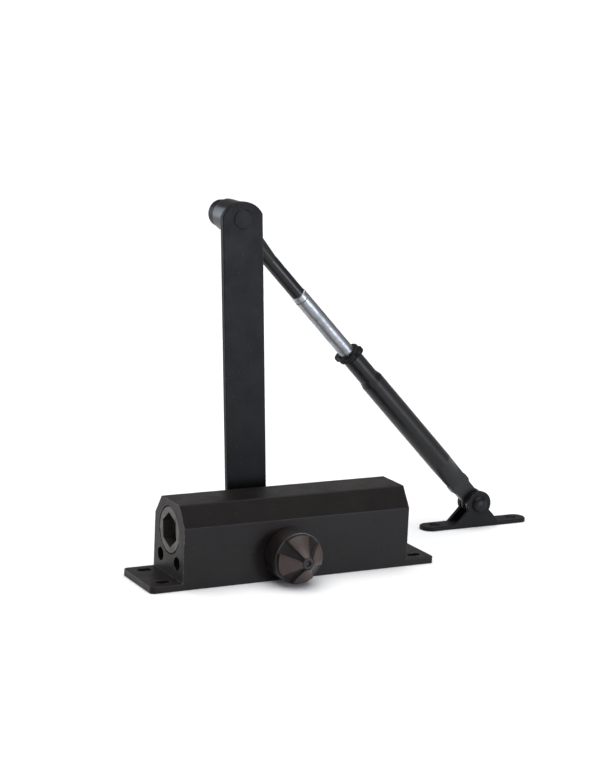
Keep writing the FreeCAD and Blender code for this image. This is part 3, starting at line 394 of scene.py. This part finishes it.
class Slot(Enum):
    """The record's material slots named for the pieces modelled here; nothing in this script
    assigns them.
    """

    ARM_PAINT = "arm_paint"
    CAP_PLASTIC = "cap_plastic"
    BLACK_STEEL = "black_steel"


# Dark bronze acrylic enamel on die-cast aluminium: brown-black, satin, casting grain under it.
# Its strong, wide light-brown edge colour is a painted highlight along the top and chamfer edges
# as well as wearing.
BODY_ENAMEL = CastPaint("dark_bronze_enamel_on_die_casting", "#171211", "#100d0d",
                        (0.36, 0.5), specular=0.17, worn_and_highlight_colour="#6f5f55", wear_and_highlight=0.95,
                        wear_and_highlight_mm=0.8)
# The same enamel on rolled steel bar and tube, so smoother.
ARM_ENAMEL = SprayedPaint("dark_enamel_on_rolled_steel", "#141315", "#100f10", (0.42, 0.56),
                          specular=0.12, peel_mm=1.4, peel_height_mm=0.02)
# The same enamel on drawn tube, glossier, so a soft light runs along it.
TUBE_ENAMEL = SprayedPaint("dark_enamel_on_drawn_tube", "#131214", "#0f0e10", (0.26, 0.38),
                           specular=0.3, peel_mm=1.8, peel_height_mm=0.012)
# Moulded nylon cap, painted near black in its channels and wall as their shade, with a fine
# eroded-mould texture.
CAP_NYLON_PAINTED_SHADE = SprayedPaint("moulded_nylon_painted_shade", "#1d1818", "#171414", (0.32, 0.44),
                         specular=0.3, worn_and_highlight_colour="#57403a", peel_mm=0.5,
                         peel_height_mm=0.025, wear_and_highlight=0.4)
# Cap lobes: grey-brown painted light against the shaded channels, redder in patches.
LOBE_PAINTED_LIGHT = SprayedPaint("cap_lobes_painted_light", "#3b322e", "#33211c", (0.34, 0.46),
                           specular=0.35, worn_and_highlight_colour="#6b5a52", peel_mm=0.6,
                           peel_height_mm=0.02, wear_and_highlight=0.5)
# Bright zinc plating on turned steel: light grey, with fine tool rings round the rod.
ZINC_ROD = TurnedMetal("bright_zinc_on_turned_rod", "#a3a5a9", "#77797d", (0.3, 0.48), 1.0,
                       axis=(0.6946, 0.0, -0.7194))
# Dull zinc on the turned end plug: mid grey, matt and stained.
ZINC_PLUG = TurnedMetal("dull_zinc_on_turned_plug", "#5d5a57", "#454240", (0.42, 0.58), 1.0,
                        axis=(1.0, 0.0, 0.0))
# Bright zinc on turned steel again, with the rings round the pivot.
ZINC_BUSH = TurnedMetal("bright_zinc_on_turned_bush", "#a4a5a8", "#7a7b7e", (0.3, 0.45), 1.0)
# Zinc on the needle valves, painted dark grey as shade so they read as shade in their holes.
VALVE_ZINC_PAINTED_SHADE = TurnedMetal("needle_valve_zinc_painted_shade", "#4a4846", "#363433", (0.42, 0.58), 1.0,
                         axis=(1.0, 0.0, 0.0))
# Heat-blackened steel: nearly black, with an oily sheen.
BLACK_OXIDE = TurnedMetal("black_oxide_steel", "#232326", "#161618", (0.38, 0.52), 0.85)
# Wire tempered in oil: dark brown-grey with a dull gloss.
SPRING_STEEL = TurnedMetal("oil_tempered_spring_wire", "#33312f", "#211f1e", (0.35, 0.5), 0.9,
                           axis=(1.0, 0.0, 0.0))
# Ground alloy steel: bright and smooth, with only the finest rings.
GROUND_STEEL = TurnedMetal("ground_alloy_steel", "#b8b9bb", "#9c9da0", (0.18, 0.3), 1.0,
                           ring_mm=0.2, ring_height_mm=0.005)
# Machined cast iron: mid grey, satin.
PISTON_IRON = TurnedMetal("machined_cast_iron", "#6f7072", "#5a5b5c", (0.32, 0.48), 1.0,
                          axis=(1.0, 0.0, 0.0))
# Sintered bronze: yellow-brown and slightly dull from its pores.
BEARING_BRONZE = TurnedMetal("sintered_bronze", "#a9804a", "#86633a", (0.35, 0.5), 1.0)
# Nitrile rubber: black, dull, greyed by bloom.
SEAL_RUBBER = Rubber("black_nitrile_rubber", "#151515", "#2b2b2b", (0.55, 0.75))


# ---------------------------------------------------------------- modelling by operators


def start_piece(name: str, finish: Finish) -> bpy.types.Object:
    """Takes the primitive just added as a new piece, gives it its finish and opens it for editing.

    Args:
        name: The piece's name.
        finish: Its finish.

    Returns:
        The piece, in edit mode with nothing selected.
    """
    piece = bpy.context.active_object
    piece.name = name
    piece.data.materials.append(material_of(finish))
    bpy.ops.object.mode_set(mode="EDIT")
    bpy.ops.mesh.select_all(action="DESELECT")
    return piece


def select_faces(piece: bpy.types.Object, wanted: Callable[[Vector, Vector], bool]) -> None:
    """Selects the faces whose centre and normal are wanted, and no others.

    Args:
        piece: The piece, in edit mode.
        wanted: Says of a face's centre and normal whether it is picked.
    """
    bpy.ops.mesh.select_all(action="DESELECT")
    bpy.ops.mesh.select_mode(type="FACE")
    bpy.ops.object.mode_set(mode="OBJECT")
    for face in piece.data.polygons:
        face.select = wanted(face.center, face.normal)
    bpy.ops.object.mode_set(mode="EDIT")


def settle_place() -> None:
    """Moves the place, turn and scale of what is selected into its mesh."""
    bpy.ops.object.transform_apply(location=True, rotation=True, scale=True)


def close_up() -> None:
    """Merges doubled corners and turns every face outwards, in edit mode."""
    bpy.ops.mesh.select_all(action="SELECT")
    bpy.ops.mesh.remove_doubles(threshold=MERGE_DISTANCE)
    bpy.ops.mesh.normals_make_consistent(inside=False)


def narrow_and_lift(scale: float, lift: float) -> None:
    """Extrudes the picked face up Z and scales the new end about the Z axis.

    Args:
        scale: How wide the new end is against the old one.
        lift: How far it rises, in metres; below zero it sinks.
    """
    bpy.ops.mesh.extrude_region_move(TRANSFORM_OT_translate={"value": (0.0, 0.0, lift)})
    bpy.ops.transform.resize(value=(scale, scale, 1.0), center_override=(0.0, 0.0, 0.0))


def standing(place: Vector, along: Vector, across: Vector) -> Matrix:
    """Where a piece made about the Z axis goes.

    Args:
        place: Where its origin goes.
        along: Where its Z axis points.
        across: Where its X axis points, square to along.

    Returns:
        The placing matrix.
    """
    turn = Matrix((across, along.cross(across), along)).transposed()
    return Matrix.Translation(place) @ turn.to_4x4()


def finish_piece(piece: bpy.types.Object, soften_mm: float, stand: Matrix,
                 round_above_deg: float = 28.0, smooth_below_deg: float = 35.0) -> None:
    """Rounds the edges, places the piece and settles that place into its mesh.

    Args:
        piece: The piece, in edit mode, made about the Z axis.
        soften_mm: Width of the rounding on its edges.
        stand: Where the piece goes.
        round_above_deg: Edges sharper than this are rounded.
        smooth_below_deg: Edges blunter than this are shaded smooth.
    """
    close_up()
    bpy.ops.object.mode_set(mode="OBJECT")
    rounding = piece.modifiers.new("rounding", "BEVEL")
    rounding.width = soften_mm * MM
    rounding.segments = 3
    rounding.limit_method = "ANGLE"
    rounding.angle_limit = math.radians(round_above_deg)
    bpy.ops.object.modifier_apply(modifier=rounding.name)
    bpy.ops.object.shade_smooth_by_angle(angle=math.radians(smooth_below_deg))
    piece.matrix_world = stand
    settle_place()


def round_blank(radius: float, height: float, sides: int) -> None:
    """Adds a solid of many sides on the floor of its own frame, alone in the selection.

    Args:
        radius: Its radius.
        height: Its height up Z.
        sides: How many sides it has.
    """
    bpy.ops.object.select_all(action="DESELECT")
    bpy.ops.mesh.primitive_cylinder_add(vertices=sides, radius=radius, depth=height,
                                        location=(0.0, 0.0, height / 2),
                                        end_fill_type="NGON")
    settle_place()


@dataclass
class LobedCap:
    """Moulded cap over the unused end of the pinion: round wall, four broad lobes and a hub."""

    sides: int = 96
    lobes: int = 4
    lobe_deg: float = 54.0
    lobe_rise: float = 3.0 * MM
    cone_rise: float = 11.6 * MM
    hub_radius: float = 4.6 * MM
    hub_collar: float = 1.0 * MM
    shoulder_share: float = 0.68
    rise_shares: tuple[float, float, float] = (0.36, 0.52, 0.12)
    dimple_depth: float = 1.6 * MM
    dimple_shares: tuple[float, float, float] = (0.92, 0.5, 0.8)
    rim: float = 1.2 * MM
    soften_mm: float = 0.45
    turn_deg: float = 10.0

    def build(self) -> bpy.types.Object:
        """Models the cap in its CAD node's place.

        Returns:
            The finished cap.
        """
        low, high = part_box("pinion_cap")
        radius = (high.x - low.x) / 2
        wall = (high.y - low.y) - self.cone_rise - self.lobe_rise
        round_blank(radius, wall, self.sides)
        cap = start_piece("lobed_cap_shell", CAP_NYLON_PAINTED_SHADE)
        self.raise_cone(cap, radius)
        self.raise_lobes(cap, wall)
        self.sink_hub(cap, wall)
        middle = Vector(((low.x + high.x) / 2, high.y, (low.z + high.z) / 2))
        finish_piece(cap, self.soften_mm,
                     standing(middle, Vector((0.0, -1.0, 0.0)), Vector((1.0, 0.0, 0.0))))
        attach(cap, "housing")
        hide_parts("pinion_cap")
        return cap

    def raise_cone(self, cap: bpy.types.Object, radius: float) -> None:
        """Draws the wall's top in to the hub in three steps, hollowing the slope a little.

        Args:
            cap: The cap, in edit mode.
            radius: Radius of its wall.
        """
        select_faces(cap, lambda centre, normal: normal.z > FACES_UP)
        narrow_and_lift(1.0 - self.rim / radius, 0.0)
        outer = radius - self.rim
        widths = (outer, outer * self.shoulder_share, self.hub_radius + self.hub_collar,
                  self.hub_radius)
        for before, after, share in zip(widths, widths[1:], self.rise_shares):
            narrow_and_lift(after / before, self.cone_rise * share)

    def raise_lobes(self, cap: bpy.types.Object, wall: float) -> None:
        """Raises the broad lobes and leaves the channels between them low.

        Args:
            cap: The cap, in edit mode.
            wall: Height of its wall, above which the slope starts.
        """
        def on_lobe(centre: Vector, normal: Vector) -> bool:
            """Says whether a face of the slope lies within a lobe's width.

            Args:
                centre: The face's centre.
                normal: Its normal.

            Returns:
                True on a lobe.
            """
            step = 360.0 / self.lobes
            angle = math.degrees(math.atan2(centre.y, centre.x)) - self.turn_deg
            off = abs((angle + step / 2) % step - step / 2)
            sloping = 0.2 < normal.z < 0.98
            return sloping and centre.z > wall and off < self.lobe_deg / 2
        select_faces(cap, on_lobe)
        bpy.ops.mesh.extrude_region_move(
            TRANSFORM_OT_translate={"value": (0.0, 0.0, self.lobe_rise)})
        # The lobes take the lighter, painted-light material; the wall and channels keep the
        # near-black painted shade.
        cap.data.materials.append(material_of(LOBE_PAINTED_LIGHT))
        cap.active_material_index = 1
        bpy.ops.object.material_slot_assign()

    def sink_hub(self, cap: bpy.types.Object, wall: float) -> None:
        """Lifts the hub level with the lobes and dimples its middle.

        Args:
            cap: The cap, in edit mode.
            wall: Height of its wall.
        """
        top = wall + self.cone_rise
        select_faces(cap, lambda centre, normal: normal.z > FACES_UP
                     and centre.z > top - 0.1 * MM and centre.xy.length < 0.5 * MM)
        hub_draw, dimple_width, dimple_draw = self.dimple_shares
        narrow_and_lift(hub_draw, self.lobe_rise)
        narrow_and_lift(dimple_width, 0.0)
        narrow_and_lift(dimple_draw, -self.dimple_depth)


@dataclass
class ClosingSpring:
    """Round-wire compression spring that the piston shortens as the arm turns."""

    node: str
    wire: float
    turns: int
    name: str
    wire_sides: int = 16
    steps_per_turn: int = 40
    smooth_below_deg: float = 60.0

    def build(self) -> bpy.types.Object:
        """Models the spring in its CAD node's place.

        Returns:
            The finished spring.
        """
        low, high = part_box(self.node)
        coil_radius = (high.z - low.z - self.wire) / 2
        length = high.x - low.x
        spring = self.coil(coil_radius, (length - self.wire) / self.turns)
        middle = Vector((low.x + self.wire / 2, (low.y + high.y) / 2, (low.z + high.z) / 2))
        spring.matrix_world = standing(middle, Vector((1.0, 0.0, 0.0)),
                                       Vector((0.0, 1.0, 0.0)))
        settle_place()
        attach(spring, "housing")
        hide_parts(self.node)
        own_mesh(spring)
        return spring

    def coil(self, coil_radius: float, pitch: float) -> bpy.types.Object:
        """Winds the wire about the Z axis and closes its two ends.

        Args:
            coil_radius: From the axis to the wire's middle.
            pitch: Rise of one turn.

        Returns:
            The coil, in object mode.
        """
        bpy.ops.object.select_all(action="DESELECT")
        bpy.ops.mesh.primitive_circle_add(vertices=self.wire_sides, radius=self.wire / 2,
                                          location=(coil_radius, 0.0, 0.0),
                                          rotation=(math.radians(90.0), 0.0, 0.0))
        settle_place()
        spring = start_piece(self.name, SPRING_STEEL)
        bpy.ops.object.mode_set(mode="OBJECT")
        winding = spring.modifiers.new("winding", "SCREW")
        winding.axis = "Z"
        winding.screw_offset = pitch
        winding.iterations = self.turns
        winding.steps = winding.render_steps = self.steps_per_turn
        bpy.ops.object.modifier_apply(modifier=winding.name)
        bpy.ops.object.mode_set(mode="EDIT")
        bpy.ops.mesh.select_all(action="SELECT")
        bpy.ops.mesh.remove_doubles(threshold=MERGE_DISTANCE)
        bpy.ops.mesh.fill_holes(sides=0)
        bpy.ops.mesh.normals_make_consistent(inside=False)
        bpy.ops.object.mode_set(mode="OBJECT")
        bpy.ops.object.shade_smooth_by_angle(angle=math.radians(self.smooth_below_deg))
        return spring


@dataclass
class LuggedNut:
    """Lock nut that clamps the rod in the tube: a knurled collar with two thumb lugs."""

    radius: float = 9.0 * MM
    ridges: int = 30
    sides_per_ridge: int = 4
    ridge_rise: float = 0.3 * MM
    lug_half_deg: float = 30.0
    lug_draw: float = 0.8
    chamfer: float = 0.7 * MM
    bore_clearance: float = 0.08 * MM
    soften_mm: float = 0.25

    def build(self) -> bpy.types.Object:
        """Models the nut in its CAD node's place, about the forearm's axis.

        Returns:
            The finished nut.
        """
        joint = joint_named("lock_nut_turn")
        along = Vector(joint["axis"]).normalized()
        start = Vector(joint["pos_m"])
        offsets = [vertex.co - start for vertex in frame["nodes"]["lock_nut"].data.vertices]
        places = [offset.dot(along) for offset in offsets]
        outward = [offset - along * offset.dot(along) for offset in offsets]
        tip = max(outward, key=lambda offset: offset.length)
        bore = self.rod_radius(start, along) + self.bore_clearance
        nut = self.collar(max(places) - min(places), bore)
        self.pull_lugs(nut, tip.length)
        finish_piece(nut, self.soften_mm,
                     standing(start + along * min(places), along, tip.normalized()))
        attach(nut, "clamp_nut")
        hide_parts("lock_nut")
        return nut

    def rod_radius(self, start: Vector, along: Vector) -> float:
        """The adjusting rod's radius, from its CAD node.

        Args:
            start: A point on the forearm's axis.
            along: The axis's direction.

        Returns:
            The radius in metres.
        """
        return max(((vertex.co - start) - along * (vertex.co - start).dot(along)).length
                   for vertex in frame["nodes"]["adjusting_rod"].data.vertices)

    def collar(self, height: float, bore: float) -> bpy.types.Object:
        """Makes the collar with its chamfers and bore.

        Args:
            height: Length along the axis.
            bore: Radius of the hole.

        Returns:
            The collar, in edit mode.
        """
        inner = self.radius - self.chamfer
        round_blank(self.radius, height, self.ridges * self.sides_per_ridge)
        nut = start_piece("lugged_lock_nut", ARM_ENAMEL)
        for side in (1.0, -1.0):
            select_faces(nut, lambda centre, normal: normal.z * side > FACES_UP)
            bpy.ops.transform.translate(value=(0.0, 0.0, -self.chamfer * side))
            narrow_and_lift(inner / self.radius, self.chamfer * side)
            narrow_and_lift(bore / inner, 0.0)
        select_faces(nut, lambda centre, normal: abs(normal.z) > FACES_UP
                     and centre.xy.length < bore * 0.5)
        bpy.ops.mesh.bridge_edge_loops()
        return nut

    def pull_lugs(self, nut: bpy.types.Object, reach: float) -> None:
        """Raises the knurl between the lugs, then draws the two lugs out along X.

        Args:
            nut: The collar, in edit mode.
            reach: Distance from the axis to a lug's tip.
        """
        def from_lug(centre: Vector) -> float:
            """The angle in degrees from a place to the nearer lug's middle."""
            angle = abs(math.degrees(math.atan2(centre.y, centre.x)))
            return min(angle, 180.0 - angle)

        def on_wall(centre: Vector, normal: Vector) -> bool:
            """Says whether a face is of the collar's outer wall."""
            return abs(normal.z) < FACES_SIDEWAYS and centre.xy.length > self.radius * 0.9

        def on_ridge(centre: Vector, normal: Vector) -> bool:
            """Says whether a face of the wall is in the raised half of a knurl's step.

            Args:
                centre: The face's centre.
                normal: Its normal.

            Returns:
                True on a ridge, away from the lugs.
            """
            step = 2 * math.pi / self.ridges
            turn = (math.atan2(centre.y, centre.x) % step) / step
            return (on_wall(centre, normal) and turn < 0.5
                    and from_lug(centre) > self.lug_half_deg)

        select_faces(nut, on_ridge)
        bpy.ops.mesh.extrude_region_shrink_fatten(
            TRANSFORM_OT_shrink_fatten={"value": self.ridge_rise})
        for side in (1.0, -1.0):
            select_faces(nut, lambda centre, normal: on_wall(centre, normal)
                         and from_lug(centre) < self.lug_half_deg and centre.x * side > 0.0)
            bpy.ops.mesh.extrude_region_move(
                TRANSFORM_OT_translate={"value": ((reach - self.radius) * side, 0.0, 0.0)})
            bpy.ops.transform.resize(value=(1.0, self.lug_draw, 1.0),
                                     center_override=(0.0, 0.0, 0.0))


# ---------------------------------------------------------------- carried-over CAD nodes


def dress_node(node: str, finish: Finish) -> None:
    """Gives a CAD node its finish, and leaves its mesh as it is.

    Args:
        node: The CAD node's name.
        finish: The finish to show on it.
    """
    piece = frame["nodes"][node]
    piece.data.materials.clear()
    piece.data.materials.append(material_of(finish))
    log.info("dressed %s with %s", node, finish.name)


def material_of(finish: Finish) -> bpy.types.Material:
    """The finish's material, made once.

    Args:
        finish: The finish.

    Returns:
        Its material.
    """
    return bpy.data.materials.get(finish.name) or finish.build()


@dataclass
class SubAssembly:
    """What goes together on the bench: CAD nodes to dress, and pieces to model."""

    finishes: dict[str, Finish] = field(default_factory=dict)

    def model(self) -> list[bpy.types.Object]:
        """The pieces modelled here, none unless a sub-assembly says otherwise."""
        return []

    def build(self) -> None:
        """Dresses the CAD nodes, then models the sub-assembly's own pieces."""
        log.info("building %s", type(self).__name__)
        for node, finish in self.finishes.items():
            dress_node(node, finish)
        for piece in self.model():
            log.info("modelled %s", piece.name)


@dataclass
class Housing(SubAssembly):
    """Cast body with its plugs, valves, glands, bearings, seals, springs and cap."""

    finishes: dict[str, Finish] = field(default_factory=lambda: {
        "body_casting": BODY_ENAMEL,
        "end_plug_left": ZINC_PLUG, "end_plug_right": ZINC_PLUG,
        "plug_seal_left": SEAL_RUBBER, "plug_seal_right": SEAL_RUBBER,
        "closing_valve": VALVE_ZINC_PAINTED_SHADE, "latching_valve": VALVE_ZINC_PAINTED_SHADE,
        "closing_valve_seal": SEAL_RUBBER, "latching_valve_seal": SEAL_RUBBER,
        "bearing_front": BEARING_BRONZE, "bearing_rear": BEARING_BRONZE,
        "gland_front": BLACK_OXIDE, "gland_rear": BLACK_OXIDE,
        "shaft_seal_front": SEAL_RUBBER, "shaft_seal_rear": SEAL_RUBBER,
    })
    cap: LobedCap = field(default_factory=LobedCap)
    outer_spring: ClosingSpring = field(default_factory=lambda: ClosingSpring(
        "outer_spring", wire=3.2 * MM, turns=6, name="outer_closing_spring"))
    inner_spring: ClosingSpring = field(default_factory=lambda: ClosingSpring(
        "inner_spring", wire=2.2 * MM, turns=9, name="inner_closing_spring"))

    def model(self) -> list[bpy.types.Object]:
        """The cap and the two closing springs."""
        return [piece.build() for piece in (self.cap, self.outer_spring, self.inner_spring)]


@dataclass
class Drive(SubAssembly):
    """Pinion shaft, rack piston and check valve."""

    finishes: dict[str, Finish] = field(default_factory=lambda: {
        "pinion_shaft": GROUND_STEEL, "piston": PISTON_IRON,
        "check_seat": GROUND_STEEL, "check_ball": GROUND_STEEL,
    })


@dataclass
class Arms(SubAssembly):
    """Main arm with its fixings, and the adjustable forearm with its lock nut."""

    finishes: dict[str, Finish] = field(default_factory=lambda: {
        "main_arm": ARM_ENAMEL, "arm_washer": BLACK_OXIDE, "arm_screw": BLACK_OXIDE,
        "elbow_pin": ARM_ENAMEL, "elbow_washer": BLACK_OXIDE, "elbow_cap": ARM_ENAMEL,
        "rod_end": TUBE_ENAMEL, "adjusting_rod": ZINC_ROD, "forearm_tube": TUBE_ENAMEL,
    })
    nut: LuggedNut = field(default_factory=LuggedNut)

    def model(self) -> list[bpy.types.Object]:
        """The lock nut."""
        return [self.nut.build()]


@dataclass
class Shoe(SubAssembly):
    """Shoe bracket with its pivot bolt, bushes and nut."""

    finishes: dict[str, Finish] = field(default_factory=lambda: {
        "shoe_bracket": ARM_ENAMEL, "shoe_bolt": BLACK_OXIDE, "shoe_nut": BLACK_OXIDE,
        "bush_front": ZINC_BUSH, "bush_rear": ZINC_BUSH,
    })


# ---------------------------------------------------------------- studio


@dataclass(frozen=True)
class SoftLamp:
    """A square diffused lamp, aimed at the object."""

    name: str
    place: tuple[float, float, float]
    size: float
    watts: float
    tint: tuple[float, float, float] = (0.78, 0.86, 1.0)
    target: tuple[float, float, float] = (0.05, 0.0, 0.1)

    def hang(self) -> None:
        """Adds the lamp to the scene and turns it to its target."""
        data = bpy.data.lights.new(self.name, "AREA")
        data.energy = self.watts
        data.size = self.size
        data.color = self.tint
        lamp = bpy.data.objects.new(self.name, data)
        towards = Vector(self.target) - Vector(self.place)
        turn = towards.to_track_quat("-Z", "Y").to_matrix().to_4x4()
        lamp.matrix_world = Matrix.Translation(self.place) @ turn
        bpy.context.scene.collection.objects.link(lamp)


@dataclass(frozen=True)
class Studio:
    """Camera, pale floor and soft lights."""

    camera_place: tuple[float, float, float] = (-0.6858, -1.2789, 0.4327)
    heading_deg: float = 28.50
    pitch_deg: float = 11.59
    roll_deg: float = -2.61
    lens_mm: float = 95.8
    sensor_mm: float = 36.0
    floor_size: float = 90.0
    floor_drop: float = 0.2 * MM
    ceiling: float = 0.22
    wall_top: float = 0.1
    ceiling_foot: float = 0.22
    overhead: float = 2.8
    overhead_spread_deg: float = 70.0
    lamps: tuple[SoftLamp, ...] = (
        SoftLamp("left_fill", (-1.8, -0.3, 0.5), size=1.2, watts=1.0),
        SoftLamp("rear_fill", (-1.0, 1.7, 0.4), size=1.2, watts=14.0),
        SoftLamp("front_strip", (1.0, -1.85, 0.24), size=0.5, watts=21.0),
    )

    def build(self) -> None:
        """Makes the camera, the floor, the world and the lights."""
        self.make_camera()
        self.make_floor()
        self.make_world()
        self.make_lights()

    def make_camera(self) -> None:
        """Stands the camera off the left front corner, a little above the object."""
        heading, pitch, roll = (math.radians(a) for a in
                                (self.heading_deg, self.pitch_deg, self.roll_deg))
        ahead = Vector((math.sin(heading) * math.cos(pitch),
                        math.cos(heading) * math.cos(pitch), -math.sin(pitch)))
        level = Vector((math.cos(heading), -math.sin(heading), 0.0))
        down = ahead.cross(level)
        right = level * math.cos(roll) + down * math.sin(roll)
        up = right.cross(ahead)
        turn = Matrix((right, up, -ahead)).transposed()
        data = bpy.data.cameras.new("studio_camera")
        data.lens = self.lens_mm
        data.sensor_width = self.sensor_mm
        camera = bpy.data.objects.new("studio_camera", data)
        camera.matrix_world = Matrix.Translation(self.camera_place) @ turn.to_4x4()
        bpy.context.scene.collection.objects.link(camera)
        bpy.context.scene.camera = camera

    def make_floor(self) -> None:
        """Lays a pale, dull floor that the feet and the shoe stand on."""
        bpy.ops.object.select_all(action="DESELECT")
        bpy.ops.mesh.primitive_plane_add(size=self.floor_size,
                                         location=(0.0, 0.0, -self.floor_drop))
        floor = bpy.context.active_object
        floor.name = "studio_floor"
        material = bpy.data.materials.new("white_paper_sweep")
        material.use_nodes = True
        shader = material.node_tree.nodes["Principled BSDF"]
        shader.inputs["Base Color"].default_value = srgb("#fafafa")
        shader.inputs["Roughness"].default_value = 1.0
        shader.inputs["Specular IOR Level"].default_value = 0.0
        floor.data.materials.append(material)

    def make_world(self) -> None:
        """Surrounds the set with white walls up to a low height and a dimmer white ceiling."""
        world = bpy.data.worlds.new("studio_world")
        world.use_nodes = True
        tree = world.node_tree
        sky = tree.nodes["Background"]
        sky.inputs["Color"].default_value = (1.0, 1.0, 1.0, 1.0)
        place = add(tree, "TexCoord").outputs["Generated"]
        height = add(tree, "SeparateXYZ", {0: place}).outputs["Z"]
        glow = ramp(tree, height, self.wall_top, self.ceiling_foot, 1.0, self.ceiling)
        tree.links.new(glow, sky.inputs["Strength"])
        bpy.context.scene.world = world
        bpy.context.scene.view_settings.view_transform = "Standard"

    def make_lights(self) -> None:
        """Hangs a wide overhead light, low left and rear fills and a cool front strip."""
        overhead = bpy.data.lights.new("overhead_diffuser", "SUN")
        overhead.energy = self.overhead
        overhead.angle = math.radians(self.overhead_spread_deg)
        lamp = bpy.data.objects.new("overhead_diffuser", overhead)
        bpy.context.scene.collection.objects.link(lamp)
        for soft_lamp in self.lamps:
            soft_lamp.hang()


def main() -> None:
    """Builds the studio and the door closer, sub-assembly by sub-assembly."""
    logging.basicConfig(level=logging.INFO, format="%(name)s: %(message)s")
    Studio().build()
    for assembly in (Housing(), Drive(), Arms(), Shoe()):
        assembly.build()


if __name__ == "__main__":
    main()
